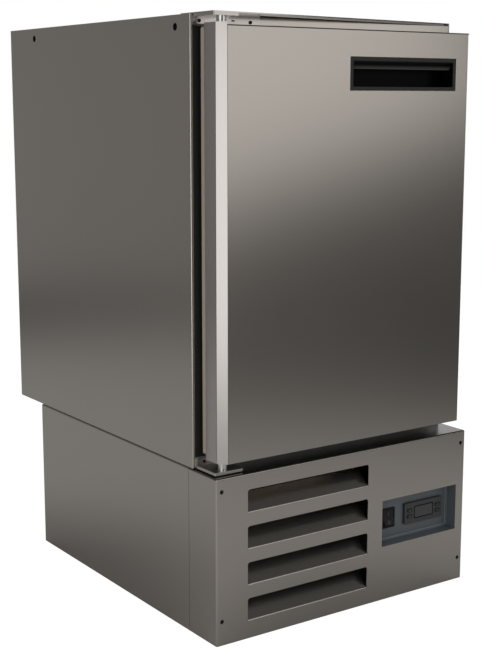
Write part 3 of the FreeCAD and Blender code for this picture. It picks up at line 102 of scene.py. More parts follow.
class CounterFinishes(bpy.types.PropertyGroup):
    """Colours and roughness of the counter's surfaces."""

    steel: colour("Steel", "Outer stainless sheet", (0.44, 0.406, 0.368))
    steel_roughness: share("Steel roughness", "Roughness of the outer stainless sheet", 0.24)
    top_roughness: share("Top roughness", "Roughness of the sheet on top of the cabinet", 0.15)
    # Painted shade: darker colour for the up-facing ledge under the door
    ledge_shade: colour("Ledge", "Dulled ledge on top of the base's front", (0.15, 0.139, 0.126))
    stile: colour("Stile", "Satin extrusion on the hinge side of the door", (0.47, 0.444, 0.423))
    bracket: colour("Bracket", "Satin plate of the hinge brackets", (0.48, 0.45, 0.42))
    inner_steel: colour("Inner steel", "Satin stainless inside the cabinet", (0.60, 0.58, 0.55))
    zinc: colour("Zinc", "Zinc plated pins", (0.66, 0.65, 0.62))
    wire: colour("Shelf wire", "Plated wire of the shelves", (0.70, 0.70, 0.69))
    galvanised: colour("Galvanised sheet", "Sheet of the back and the base floor", (0.47, 0.48, 0.48))
    fin: colour("Fins", "Bare aluminium fins", (0.66, 0.66, 0.65))
    copper: colour("Copper", "Refrigerant lines and drier", (0.72, 0.36, 0.21))
    foam: colour("Foam", "Rigid insulation", (0.72, 0.60, 0.38))
    black_plastic: colour("Black plastic", "Breaker strips, fans and trays", (0.008, 0.008, 0.0075))
    handle_rim: colour("Handle rim", "Grained rim of the handle", (0.026, 0.026, 0.025))
    # Painted shade: the cup's near-black stands for the shade inside the handle's recess
    handle_cup: colour("Handle cup", "Black inside of the handle", (0.0012, 0.0012, 0.0012))
    # Painted highlight: the pale colour under the grip lip stands for light caught there
    handle_lip_sheen: colour("Handle lip", "Worn lower edge of the handle's grip lip", (0.060, 0.060, 0.058))
    slate: colour("Slate", "Control panel plate", (0.075, 0.087, 0.097))
    # Painted highlight: the pale bead stands for light caught along the inner edge of the control recess
    highlight_bead: colour("Bead", "Pale bead round the control panel plate", (0.19, 0.20, 0.215))
    controller: colour("Controller", "Front of the controller", (0.030, 0.030, 0.030))
    key: colour("Keys", "Keys of the controller", (0.005, 0.005, 0.005))
    window: colour("Window", "Dark display window", (0.017, 0.017, 0.0175))
    switch: colour("Switch", "Rocker switch", (0.007, 0.007, 0.007))
    key_mark: colour("Key marks", "Signs on the keys", (0.05, 0.05, 0.05))
    switch_mark: colour("Switch marks", "Signs on the rocker", (0.07, 0.07, 0.07))
    door_liner: colour("Door liner", "Moulded inner face of the door", (0.30, 0.255, 0.205))
    rubber: colour("Rubber", "Gasket, seal and grommets", (0.016, 0.015, 0.014))
    enamel: colour("Enamel", "Compressor and motor shells", (0.013, 0.013, 0.014))
    screw: colour("Screws", "Black oxide screws", (0.012, 0.012, 0.012))
    bush: colour("Bushes", "Natural plastic hinge bushes", (0.62, 0.60, 0.54))
    box: colour("Junction box", "Light grey junction box", (0.42, 0.43, 0.43))


class CounterFittings(bpy.types.PropertyGroup):
    """Sizes of the small fittings."""

    pan_rim: length("Pan rim", "Straight rim under the dome of a pan head", 0.0005)
    pan_dome: length("Pan dome", "Height of the dome of a pan head", 0.0011)
    sunk_head: length("Sunk head", "Height of a countersunk head", 0.002)
    hinge_shank: length("Hinge shank", "Radius of a hinge screw's shank", 0.0014)
    panel_shank: length("Panel shank", "Radius of a front panel screw's shank", 0.0018)
    recess_share: share("Cross recess", "Reach of the recess as a share of the head's radius", 0.46)
    recess_depth: length("Recess depth", "Depth of the cross recess", 0.0009)
    gasket_width: length("Gasket width", "Width of the gasket's section", 0.016)
    gasket_fold: length("Gasket fold", "Depth of the fold in the gasket's sides", 0.0026)
    gasket_lip: length("Gasket lip", "Chamfer at the corners of the gasket's section", 0.0022)
    mark_height: length("Mark height", "How far a sign stands proud of its key", 0.00012)
    key_mark: length("Key mark", "Radius of a sign on a key", 0.0022)
    rocker_mark: length("Rocker mark", "Radius of the ring on the rocker", 0.0026)
    mark_line: length("Mark line", "Line width of the signs", 0.0008)
    # Painted shadow: width of the black line round the display window
    window_shadow_width: length("Border line", "Line width of the border of the display window", 0.0011)
    # Painted highlight: sizes of the pale bead along the recess's inner edge
    bead_line: length("Bead line", "Width of the bead round the control panel plate", 0.0011)
    bead_inset: length("Bead inset", "Distance of the bead from the walls of the recess", 0.003)
    bead_height: length("Bead height", "How far the bead stands proud of the plate", 0.0006)
    trim_depth: length("Trim depth", "Depth of the strip over the door's top edge", 0.0012)
    trim_height: length("Trim height", "Height of the strip over the door's top edge", 0.0015)
    trim_wall: length("Trim wall", "How far the strip stands proud of the edge", 0.00015)
    # Painted shade: behind the rim the colour turns to the cup's near-black over this depth
    rim_edge: length("Rim edge", "Depth of the rounded inner edge of the handle's rim", 0.0015)
    # Painted highlight: under the grip lip the pale colour starts at half this depth and is full at it
    lip_depth: length("Lip depth", "Depth of the lower edge of the handle's grip lip", 0.009)
    lip_height: length("Lip height", "Height of the lip under the front edge of the gusset", 0.0024)
    lip_wall: length("Lip wall", "Wall of the lip under the front edge of the gusset", 0.001)
    lip_end_gap: length("Lip end gap", "Gap between the lip and the tip of the gusset", 0.012)
    lip_lead: length("Lip lead", "How far the gusset's lip reaches over the bracket's flange", 0.026)
    # Painted shade: the base's front turns to the darker ledge colour over this height
    ledge_shade_edge: length("Ledge edge", "Height over which the base's front turns dull", 0.003)


class CounterStage(bpy.types.PropertyGroup):
    """Camera, floor and lamps."""

    camera_place: place("Camera", "Camera position", (-1.1412, -1.6761, 0.7405))
    camera_turn: FloatVectorProperty(
        name="Camera turn",
        description="Camera rotation",
        default=(radians(79.93), 0.0, radians(-34.72)),
        size=3,
        subtype="EULER",
        unit="ROTATION",
    )
    camera_lens: FloatProperty(
        name="Lens", description="Focal length", default=70.78, min=1, unit="CAMERA"
    )
    floor_radius: length("Floor radius", "Radius of the round floor", 3.2)
    floor_drop: length("Floor drop", "Gap between the base and the floor", 0.0004)
    floor_tone: colour("Floor", "Pale floor", (0.86, 0.86, 0.86))
    floor_white: share("Floor white", "Share of plain white in the floor, as the camera sees it", 0.8)
    floor_strength: FloatProperty(
        name="Floor strength", description="Strength of that white", default=1.15, min=0
    )
    floor_near: share("Floor near by", "Tone of the floor round the counter, as metal shows it", 0.555)
    floor_far: share("Floor far off", "Tone of the floor farther off, as metal shows it", 0.09)
    glow_place: place("Glow", "Middle of the lit part of the floor", (-0.45, 0.27, 0.0))
    glow_start: length("Glow start", "Distance from there at which the tone starts to fall", 1.2)
    glow_end: length("Glow end", "Distance from there at which the tone is lowest", 2.5)
    shade_place: place("Shade", "Middle of the counter's shade on the floor", (0.0, 0.06, 0.0))
    shade_start: length("Shade start", "Distance from there at which the shade is full", 0.24)
    shade_end: length("Shade end", "Distance from there at which the shade ends", 0.62)
    shade_depth: share("Shade depth", "Share of the floor's tone that is left in the shade", 0.64)
    front_tone: share("Studio front", "Tone of the studio in front, as metal shows it", 0.03)
    rear_tone: share("Studio rear", "Tone of the studio behind, as metal shows it", 0.29)
    zenith: share("Studio overhead", "Tone overhead, as a share of the tone at the horizon", 0.35)
    flank_tone: share("Studio flank", "Tone added behind on the right, as metal shows it", 0.45)
    flank_way: FloatVectorProperty(
        name="Flank way",
        description="Direction of the lighter flank of the studio",
        default=(0.8, 0.6, 0.0),
        size=3,
        subtype="DIRECTION",
    )
    flank_edge: share("Flank edge", "Cosine of the angle from its middle at which the flank ends", 0.2)
    ambient: share("Ambient", "Plain light from all round", 0.62)
    front_place: place("Front lamp place", "Large soft lamp in front on the right", (0.97, -2.82, 1.58))
    front_aim: place("Front lamp aim", "Point that the front lamp faces", (0.0, -0.3, 1.58))
    front_size: place("Front lamp size", "Width and height of the front lamp", (2.35, 2.54, 0.0))
    front_roll: FloatProperty(
        name="Front lamp roll",
        description="Roll of the front lamp about its own axis",
        default=radians(17),
        subtype="ANGLE",
        unit="ROTATION",
    )
    front_power: power("Front lamp", "Power of the front lamp", 18.8)
    side_place: place("Side lamp place", "Soft lamp in front on the left", (-1.05, -0.84, 0.56))
    side_aim: place("Side lamp aim", "Point that the side lamp faces", (-0.22, -0.29, 0.56))
    side_size: place("Side lamp size", "Width and height of the side lamp", (0.75, 0.90, 0.0))
    side_power: power("Side lamp", "Power of the side lamp", 3.4)
    rear_place: place("Rear lamp place", "Soft lamp behind on the right", (1.6, 1.8, 0.8))
    rear_aim: place("Rear lamp aim", "Point that the rear lamp faces", (0.15, -0.27, 0.24))
    rear_size: place("Rear lamp size", "Width and height of the rear lamp", (1.4, 1.4, 0.0))
    rear_power: power("Rear lamp", "Power of the rear lamp", 2.0)
    top_place: place("Top lamp place", "Soft lamp overhead", (-0.5, 0.7, 2.8))
    top_aim: place("Top lamp aim", "Point that the top lamp faces", (0.0, 0.0, 0.85))
    top_size: place("Top lamp size", "Width and length of the top lamp", (1.6, 1.6, 0.0))
    top_power: power("Top lamp", "Power of the top lamp", 6.0)


# Shader building


def put(tree, socket, value):
    """Links a socket to another one, or sets its own value."""
    if isinstance(value, bpy.types.NodeSocket):
        tree.links.new(value, socket)
    else:
        socket.default_value = value


def add_node(tree, kind, *values):
    """Shader node whose first inputs take these values or links."""
    node = tree.nodes.new("ShaderNode" + kind)
    for socket, value in zip(node.inputs, values):
        put(tree, socket, value)
    return node


def maths(tree, operation, first, second):
    """Output of a Math node."""
    node = add_node(tree, "Math", first, second)
    node.operation = operation
    return node.outputs[0]


def vector_maths(tree, operation, first, second):
    """Outputs of a Vector Math node."""
    node = add_node(tree, "VectorMath", first, second)
    node.operation = operation
    return node.outputs


def about_zero(tree, value):
    """Value from 0 to 1, moved to lie from -0.5 to 0.5."""
    return maths(tree, "SUBTRACT", value, 0.5)


def noise(tree, position, scale, detail):
    """Noise about zero, with a number of cells per metre."""
    node = add_node(tree, "TexNoise", position)
    put(tree, node.inputs["Scale"], scale)
    put(tree, node.inputs["Detail"], detail)
    return about_zero(tree, node.outputs[0])


def ranged(tree, value, start, end, low, high, smooth=False):
    """Output of a Map Range node."""
    node = add_node(tree, "MapRange", value, start, end, low, high)
    node.interpolation_type = "SMOOTHSTEP" if smooth else "LINEAR"
    return node.outputs["Result"]


def surface_group(name, inputs):
    """Node group that turns a position and a base finish into a colour, a roughness and a relief."""
    tree = bpy.data.node_groups.new(name, "ShaderNodeTree")
    sockets = [("Position", "Vector"), ("Base Color", "Color"), ("Base Roughness", "Float")] + inputs
    for label, kind in sockets:
        tree.interface.new_socket(label, in_out="INPUT", socket_type="NodeSocket" + kind)
    for label, kind in (("Color", "Color"), ("Roughness", "Float"), ("Height", "Float")):
        tree.interface.new_socket(label, in_out="OUTPUT", socket_type="NodeSocket" + kind)
    return tree, tree.nodes.new("NodeGroupInput").outputs, tree.nodes.new("NodeGroupOutput").inputs


def shade_surface(tree, given, result, shade, height):
    """Lightens the base colour and roughens the base finish by one shade, and puts out the relief."""
    roughness_share = 0.5
    lighter = maths(tree, "ADD", shade, 1.0)
    put(tree, result["Color"], vector_maths(tree, "MULTIPLY", given["Base Color"], lighter)["Vector"])
    rougher = maths(tree, "MULTIPLY", shade, roughness_share)
    put(tree, result["Roughness"], maths(tree, "ADD", rougher, given["Base Roughness"]))
    put(tree, result["Height"], height)


def brushed_grain():
    """Fine streaks along one direction, under soft clouding, as on brushed sheet."""
    clouds_per_metre = 5.0
    inputs = [("Grain", "Vector"), ("Streaks", "Float"), ("Clouds", "Float")]
    tree, given, result = surface_group("brushed_grain", inputs)
    stretched = vector_maths(tree, "MULTIPLY", given["Position"], given["Grain"])["Vector"]
    streak = noise(tree, stretched, scale=1.0, detail=3.0)
    cloud = noise(tree, given["Position"], scale=clouds_per_metre, detail=2.0)
    streaks = maths(tree, "MULTIPLY", streak, given["Streaks"])
    clouds = maths(tree, "MULTIPLY", cloud, given["Clouds"])
    shade_surface(tree, given, result, maths(tree, "ADD", streaks, clouds), streak)
    return tree


def moulded_grain():
    """Fine pebbled texture with slow mottling, as on moulded plastic, rubber and enamel."""
    patches_per_metre = 24.0
    tree, given, result = surface_group("moulded_grain", [("Pebbles", "Float"), ("Mottle", "Float")])
    pebble = noise(tree, given["Position"], scale=given["Pebbles"], detail=2.0)
    patch = noise(tree, given["Position"], scale=patches_per_metre, detail=3.0)
    both = maths(tree, "ADD", pebble, patch)
    shade_surface(tree, given, result, maths(tree, "MULTIPLY", both, given["Mottle"]), pebble)
    return tree


def spangle():
    """Crystal patches of a zinc coat, over fine noise."""
    specks_per_metre = 300.0
    tree, given, result = surface_group("spangle", [("Crystals", "Float"), ("Contrast", "Float")])
    cells = add_node(tree, "TexVoronoi", given["Position"])
    put(tree, cells.inputs["Scale"], given["Crystals"])
    parts = add_node(tree, "SeparateColor", cells.outputs["Color"])
    crystal = about_zero(tree, parts.outputs[0])
    fine = noise(tree, given["Position"], scale=specks_per_metre, detail=3.0)
    both = maths(tree, "ADD", crystal, fine)
    shade_surface(tree, given, result, maths(tree, "MULTIPLY", both, given["Contrast"]), fine)
    return tree


effect_builders = {"brushed_grain": brushed_grain, "moulded_grain": moulded_grain, "spangle": spangle}


def opaque(tint):
    """Colour as a shader socket takes it."""
    return (*tint, 1.0)


def finish(name, effect, tint, roughness, metallic, relief, values, fixed=None):
    """Material whose colour, roughness and relief come from a shared effect, made once."""
    known = bpy.data.materials.get(name)
    if known:
        return known
    made = bpy.data.materials.new(name)
    made.use_nodes = True
    tree = made.node_tree
    shader = tree.nodes["Principled BSDF"]
    group = add_node(tree, "Group")
    group.node_tree = bpy.data.node_groups.get(effect) or effect_builders[effect]()
    put(tree, group.inputs["Position"], add_node(tree, "TexCoord").outputs["Object"])
    put(tree, group.inputs["Base Color"], opaque(tint))
    put(tree, group.inputs["Base Roughness"], roughness)
    for label, value in values.items():
        put(tree, group.inputs[label], value)
    bump = add_node(tree, "Bump")
    bump.inputs["Distance"].default_value = relief
    put(tree, bump.inputs["Height"], group.outputs["Height"])
    put(tree, shader.inputs["Base Color"], group.outputs["Color"])
    put(tree, shader.inputs["Roughness"], group.outputs["Roughness"])
    put(tree, shader.inputs["Normal"], bump.outputs["Normal"])
    shader.inputs["Metallic"].default_value = metallic
    for label, value in (fixed or {}).items():
        shader.inputs[label].default_value = value
    return made


def brushed(name, tint, roughness, grain, streaks=0.03, clouds=0.03, metallic=1.0):
    """Brushed or satin metal."""
    values = {"Grain": grain, "Streaks": streaks, "Clouds": clouds}
    return finish(name, "brushed_grain", tint, roughness, metallic, brushed_relief, values)


def moulded(name, tint, roughness, pebbles=1400.0, mottle=0.12, relief=moulded_relief, fixed=None):
    """Moulded plastic, rubber or enamel."""
    values = {"Pebbles": pebbles, "Mottle": mottle}
    metallic = 0.0
    return finish(name, "moulded_grain", tint, roughness, metallic, relief, values, fixed)


def galvanised_sheet(use):
    """Zinc coated sheet of the back and the base, with 70 crystals per metre."""
    values = {"Crystals": 70.0, "Contrast": 0.16}
    roughness = 0.42
    metallic = 0.9
    return finish("galvanised_sheet", "spangle", use.galvanised, roughness, metallic, zinc_relief, values)


def black_oxide(use):
    """Dark coat of the screws."""
    return moulded("black_oxide", use.screw, 0.38, pebbles=2200.0, mottle=0.08)


def fan_plastic(use):
    """Black plastic of the fans."""
    return moulded("fan_plastic", use.black_plastic, 0.42)


def motor_enamel(use):
    """Black enamel of the motors and the compressor."""
    return moulded("motor_enamel", use.enamel, 0.30, pebbles=900.0, mottle=0.08)


def mixed_colour(tree, factor, first, second):
    """Output of a Mix node for colours."""
    node = add_node(tree, "Mix", factor)
    node.data_type = "RGBA"
    sockets = [socket for socket in node.inputs if socket.type == "RGBA"]
    put(tree, sockets[0], first)
    put(tree, sockets[1], second)
    return [socket for socket in node.outputs if socket.type == "RGBA"][0]


def along(tree, vector, axis):
    """One coordinate of a vector."""
    return add_node(tree, "SeparateXYZ", vector).outputs[axis]


def place_along(tree, axis):
    """One Object coordinate, from the node that the finish reads already."""
    return along(tree, tree.nodes["Texture Coordinate"].outputs["Object"], axis)


def normal_along(tree, axis):
    """One coordinate of the surface's normal."""
    return along(tree, add_node(tree, "NewGeometry").outputs["Normal"], axis)


def handle_plastic(use, sizes):
    """Black plastic with a grained rim, a smooth cup behind it painted near-black as shade, and a grip
    lip painted pale underneath as a highlight.
    """
    # Z of a normal that faces down, and of one that no longer does
    facing_down = -0.5
    facing_level = -0.2
    dull = {"Specular IOR Level": 0.06}
    made = moulded("handle_plastic", use.handle_rim, 0.40, pebbles=1500.0, mottle=0.10, fixed=dull)
    tree = made.node_tree
    depth = place_along(tree, "Y")
    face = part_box("door_skin")[0].y
    # Painted shade: behind the rim the colour turns near-black, as shade inside the cup
    cup_shade = ranged(tree, depth, face, face + sizes.rim_edge, 0.0, 1.0)
    # Painted highlight: deep in the cup, faces that look down are made pale, as light caught under the
    # grip lip
    lip_sheen = ranged(tree, depth, face + sizes.lip_depth / 2, face + sizes.lip_depth, 0.0, 1.0)
    under = ranged(tree, normal_along(tree, "Z"), facing_down, facing_level, 1.0, 0.0)
    dark = mixed_colour(tree, cup_shade, opaque(use.handle_rim), opaque(use.handle_cup))
    lip = mixed_colour(tree, maths(tree, "MULTIPLY", lip_sheen, under), dark, opaque(use.handle_lip_sheen))
    put(tree, tree.nodes["Group"].inputs["Base Color"], lip)
    return made


def front_sheet(use, sizes):
    """Brushed sheet of the base's front, with painted shade on the ledge that its top edge turns back to.
    """
    # Z of a normal that still faces the front, and of one that faces up
    facing_front = 0.1
    facing_up = 0.7
    made = brushed("front_sheet", use.steel, use.steel_roughness, level_grain)
    tree = made.node_tree
    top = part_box("front_panel")[1].z
    lowest = top - 2 * sizes.ledge_shade_edge
    # Painted shade: faces near the top that turn up toward the ledge get the darker colour
    upper = ranged(tree, place_along(tree, "Z"), lowest, top - sizes.ledge_shade_edge, 0.0, 1.0)
    turned = ranged(tree, normal_along(tree, "Z"), facing_front, facing_up, 0.0, 1.0)
    ledge_shade_mask = maths(tree, "MULTIPLY", upper, turned)
    tone = mixed_colour(tree, ledge_shade_mask, opaque(use.steel), opaque(use.ledge_shade))
    put(tree, tree.nodes["Group"].inputs["Base Color"], tone)
    return made


def dress(material, *names):
    """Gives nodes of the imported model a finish."""
    for name in names:
        nodes[name].material_slots[0].material = material


# Mesh building


def soften(bm, limit=radians(35)):
    """Smooth shading, broken at edges sharper than the limit."""
    for face in bm.faces:
        face.smooth = True
    for edge in bm.edges:
        edge.smooth = edge.is_manifold and edge.calc_face_angle() < limit


def piece(name, bm, body, material):
    """Object made of a finished mesh, riding on a body."""
    bmesh.ops.recalc_face_normals(bm, faces=bm.faces)
    soften(bm)
    mesh = bpy.data.meshes.new(name)
    bm.to_mesh(mesh)
    bm.free()
    mesh.materials.append(material)
    made = bpy.data.objects.new(name, mesh)
    bpy.context.scene.collection.objects.link(made)
    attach(made, body)
    return made


def joined_bmesh(parts):
    """One bmesh that holds several."""
    whole = bmesh.new()
    for part in parts:
        mesh = bpy.data.meshes.new("joining")
        part.to_mesh(mesh)
        part.free()
        whole.from_mesh(mesh)
        bpy.data.meshes.remove(mesh)
    return whole


def merged_copy(node):
    """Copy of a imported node's mesh, its loose triangles joined."""
    bm = bmesh.new()
    bm.from_mesh(nodes[node].data)
    bmesh.ops.remove_doubles(bm, verts=bm.verts, dist=merge_distance)
    return bm


def solid_boxes(node):
    """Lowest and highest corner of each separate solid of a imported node."""
    bm = merged_copy(node)
    waiting = set(bm.verts)
    boxes = []
    while waiting:
        stack = [waiting.pop()]
        low = stack[0].co.copy()
        high = stack[0].co.copy()
        while stack:
            vert = stack.pop()
            low = Vector(map(min, low, vert.co))
            high = Vector(map(max, high, vert.co))
            for edge in vert.link_edges:
                other = edge.other_vert(vert)
                if other in waiting:
                    waiting.remove(other)
                    stack.append(other)
        boxes.append((low, high))
    bm.free()
    return sorted(boxes, key=lambda corners: tuple(corners[0]))


def new_verts(result):
    """Vertices among what an operator made."""
    return [item for item in result["geom"] if isinstance(item, bmesh.types.BMVert)]


def drawn_out(bm, edges):
    """New loop extruded from an edge loop, as its edges and its vertices."""
    result = bmesh.ops.extrude_edge_only(bm, edges=edges)
    verts = new_verts(result)
    made = [item for item in result["geom"] if isinstance(item, bmesh.types.BMEdge)]
    return [edge for edge in made if all(vert in verts for vert in edge.verts)], verts


def step_loop(bm, edges, shrink, rise):
    """Draws an edge loop out to a new ring, scaled about the axis and raised along it."""
    ring, verts = drawn_out(bm, edges)
    bmesh.ops.scale(bm, vec=(shrink, shrink, 1.0), verts=verts)
    bmesh.ops.translate(bm, vec=(0.0, 0.0, rise), verts=verts)
    return ring


def pan_head(sizes, radius, length_below):
    """Outline of a domed head and its shank, as (radius, height) over the seat, from the top down."""
    flat = 0.72
    dome_steps = 4
    outline = []
    for i in range(dome_steps + 1):
        turn = pi / 2 * i / dome_steps
        reach = radius * (flat + (1 - flat) * sin(turn))
        outline.append((reach, sizes.pan_rim + sizes.pan_dome * cos(turn)))
    shank = sizes.hinge_shank
    return outline + [(radius, 0.0), (shank, 0.0), (shank, -length_below)]


def sunk_head(sizes, radius, length_below):
    """Outline of a countersunk head and its shank, as (radius, height) from its face down."""
    shank = sizes.panel_shank
    chamfer = radius / 20
    rim = [(radius - chamfer, 0.0), (radius, -chamfer)]
    return rim + [(shank, -sizes.sunk_head), (shank, -length_below)]


def cross_head_screw(sizes, outline, turn):
    """Screw of a given outline along Z, with a cross recess in its top, turned about its axis."""
    cells = 6
    taper = 0.75
    bm = bmesh.new()
    reach, height = outline[0]
    half_grid = max(radius for radius, _ in outline) * sizes.recess_share
    at_top = Matrix.Translation((0.0, 0.0, height))
    bmesh.ops.create_grid(bm, x_segments=cells, y_segments=cells, size=half_grid, matrix=at_top)
    arm = half_grid / cells * 2
    middles = [(face, face.calc_center_median()) for face in bm.faces]
    cross = [face for face, middle in middles if min(abs(middle.x), abs(middle.y)) < arm]
    border = [edge for edge in bm.edges if edge.is_boundary]
    square_on = at_top @ Matrix.Rotation(pi / 4, 4, "Z")
    circle = bmesh.ops.create_circle(bm, segments=4 * cells, radius=reach, matrix=square_on)["verts"]
    rim = [edge for edge in bm.edges if edge.verts[0] in circle]
    bmesh.ops.bridge_loops(bm, edges=border + rim)
    for next_reach, next_height in outline[1:]:
        rim = step_loop(bm, rim, next_reach / reach, next_height - height)
        reach = next_reach
        height = next_height
    bmesh.ops.edgeloop_fill(bm, edges=rim)
    sunk = bmesh.ops.extrude_face_region(bm, geom=cross)
    bmesh.ops.delete(bm, geom=cross, context="FACES_ONLY")
    bottom = new_verts(sunk)
    bmesh.ops.translate(bm, vec=(0.0, 0.0, -sizes.recess_depth), verts=bottom)
    bmesh.ops.scale(bm, vec=(taper, taper, 1.0), verts=bottom)
    bmesh.ops.rotate(bm, matrix=Matrix.Rotation(turn, 3, "Z"), verts=bm.verts)
    return bm


def screw_set(sizes, node, head, head_height):
    """Screws that stand for each solid of a node, their heads towards -Y."""
    facing = Matrix.Rotation(radians(90), 4, "X")
    turn_step = radians(38)
    parts = []
    for i, (low, high) in enumerate(solid_boxes(node)):
        outline = head(sizes, (high.x - low.x) / 2, high.y - low.y - head_height)
        screw = cross_head_screw(sizes, outline, turn_step * i)
        seat = Matrix.Translation(((low.x + high.x) / 2, low.y + head_height, (low.z + high.z) / 2))
        bmesh.ops.transform(screw, matrix=seat @ facing, verts=screw.verts)
        parts.append(screw)
    return joined_bmesh(parts)


def gasket_section(sizes):
    """Half of the gasket's folded section, as distance from its edge and share of its depth."""
    return [
        (sizes.gasket_lip, 0.0),
        (0.0, 0.16),
        (0.0, 0.36),
        (sizes.gasket_fold, 0.46),
        (sizes.gasket_fold, 0.54),
        (0.0, 0.64),
        (0.0, 0.86),
        (sizes.gasket_lip, 1.0),
    ]


def folded_gasket(sizes, low, high):
    """Ring with mitred corners and a fold all round its inner and outer side."""
    outer = gasket_section(sizes)
    inner = [(sizes.gasket_width - edge, depth) for edge, depth in reversed(outer)]
    centre = (low + high) / 2
    half_width = (high.x - low.x) / 2
    half_height = (high.z - low.z) / 2
    bm = bmesh.new()
    upright = Matrix.Translation(centre) @ Matrix.Rotation(radians(90), 4, "X")
    bmesh.ops.create_grid(bm, x_segments=1, y_segments=1, size=1.0, matrix=upright)
    bmesh.ops.delete(bm, geom=list(bm.faces), context="FACES_ONLY")
    first_loop = list(bm.edges)
    loop = first_loop
    verts = list(bm.verts)
    for i, (edge, depth) in enumerate(outer + inner):
        if i:
            loop, verts = drawn_out(bm, loop)
        for vert in verts:
            vert.co.x = centre.x + copysign(half_width - edge, vert.co.x - centre.x)
            vert.co.y = low.y + (high.y - low.y) * depth
            vert.co.z = centre.z + copysign(half_height - edge, vert.co.z - centre.z)
    bmesh.ops.bridge_loops(bm, edges=first_loop + loop)
    return bm


def plate_from(bm, height):
    """Flat outline made a thin plate that stands on its own plane."""
    raised = bmesh.ops.extrude_face_region(bm, geom=list(bm.faces))
    bmesh.ops.translate(bm, vec=(0.0, 0.0, height), verts=new_verts(raised))
    return bm


def triangle_sign(sizes, turn):
    """Triangle that points up, or down after a half turn."""
    bm = bmesh.new()
    bmesh.ops.create_circle(
        bm, cap_ends=True, segments=3, radius=sizes.key_mark, matrix=Matrix.Rotation(turn, 4, "Z")
    )
    return plate_from(bm, sizes.mark_height)


def outlined(bm, line, height):
    """Flat shape cut out to a raised outline."""
    whole = list(bm.faces)
    bmesh.ops.inset_region(bm, faces=whole, thickness=line, use_boundary=True, use_even_offset=True)
    bmesh.ops.delete(bm, geom=whole, context="FACES")
    return plate_from(bm, height)


def ring_sign(sizes, radius, segments):
    """Ring of one line width."""
    bm = bmesh.new()
    bmesh.ops.create_circle(bm, cap_ends=True, segments=segments, radius=radius)
    return outlined(bm, sizes.mark_line, sizes.mark_height)


def flat_oblong(half_width, half_height):
    """Flat oblong about the origin."""
    bm = bmesh.new()
    bmesh.ops.create_grid(bm, x_segments=1, y_segments=1, size=1.0)
    bmesh.ops.scale(bm, vec=(half_width, half_height, 1.0), verts=bm.verts)
    return bm


def bar_sign(sizes, half_length):
    """Upright bar of one line width."""
    return plate_from(flat_oblong(sizes.mark_line / 2, half_length), sizes.mark_height)


def edge_strip(sizes, low, high):
    """Strip with rounded upper edges, clipped over the top edge of a sheet that faces -Y; its dark rubber
    is partly a trim and partly painted shadow along that edge.
    """
    bm = plate_from(flat_oblong((high.x - low.x) / 2, sizes.trim_depth / 2), sizes.trim_height)
    upper = [edge for edge in bm.edges if min(vert.co.z for vert in edge.verts) > 0]
    bmesh.ops.bevel(
        bm, geom=upper, affect="EDGES", offset=sizes.trim_depth / 4, segments=2, profile=0.5, material=-1
    )
    x = (low.x + high.x) / 2
    y = low.y - sizes.trim_wall + sizes.trim_depth / 2
    z = high.z + sizes.trim_wall - sizes.trim_height
    bmesh.ops.translate(bm, vec=(x, y, z), verts=bm.verts)
    return bm


def turned_lip(sizes, node, start):
    """Lip under the slanted front edge of a plate, from a given X to near the plate's tip."""
    # Y of a normal that faces the front
    facing_front = -0.9
    low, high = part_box(node)
    bm = merged_copy(node)
    for end, way in ((start, 1.0), (high.x - sizes.lip_end_gap, -1.0)):
        geom = [*bm.verts, *bm.edges, *bm.faces]
        bmesh.ops.bisect_plane(
            bm, geom=geom, plane_co=(end, 0.0, 0.0), plane_no=(way, 0.0, 0.0), clear_inner=True
        )
    others = [face for face in bm.faces if face.normal.y > facing_front]
    bmesh.ops.delete(bm, geom=others, context="FACES")
    below_top = Matrix.Translation((0.0, 0.0, -high.z))
    stretch = sizes.lip_height / (high.z - low.z)
    bmesh.ops.scale(bm, vec=(1.0, 1.0, stretch), space=below_top, verts=bm.verts)
    bmesh.ops.translate(bm, vec=(0.0, 0.0, low.z - high.z), verts=bm.verts)
    outwards = next(iter(bm.faces)).normal.copy()
    backs = bmesh.ops.extrude_face_region(bm, geom=list(bm.faces))
    bmesh.ops.translate(bm, vec=-sizes.lip_wall * outwards, verts=new_verts(backs))
    return bm


def laid_on(sign, node, x, z):
    """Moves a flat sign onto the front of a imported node, square to its surface there."""
    reach = 1.0
    hit, point, normal, _ = nodes[node].ray_cast(Vector((x, -reach, z)), Vector((0.0, 1.0, 0.0)))
    if not hit:
        raise RuntimeError("no surface of " + node + " under its sign")
    upright = Vector((0.0, 0.0, 1.0))
    across = upright.cross(normal).normalized()
    upwards = normal.cross(across)
    turn = Matrix((across, upwards, normal)).transposed().to_4x4()
    bmesh.ops.transform(sign, matrix=Matrix.Translation(point) @ turn, verts=sign.verts)
    return sign


def recess_reach(node, point):
    """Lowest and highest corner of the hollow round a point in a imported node, across X and Z."""
    low = Vector(point)
    high = Vector(point)
    for axis in (0, 2):
        for corner, way in ((low, -1.0), (high, 1.0)):
            towards = Vector((0.0, 0.0, 0.0))
            towards[axis] = way
            hit, wall, _, _ = nodes[node].ray_cast(Vector(point), towards)
            if not hit:
                raise RuntimeError("no wall of " + node + " round its recess")
            corner[axis] = wall[axis]
    return low, high


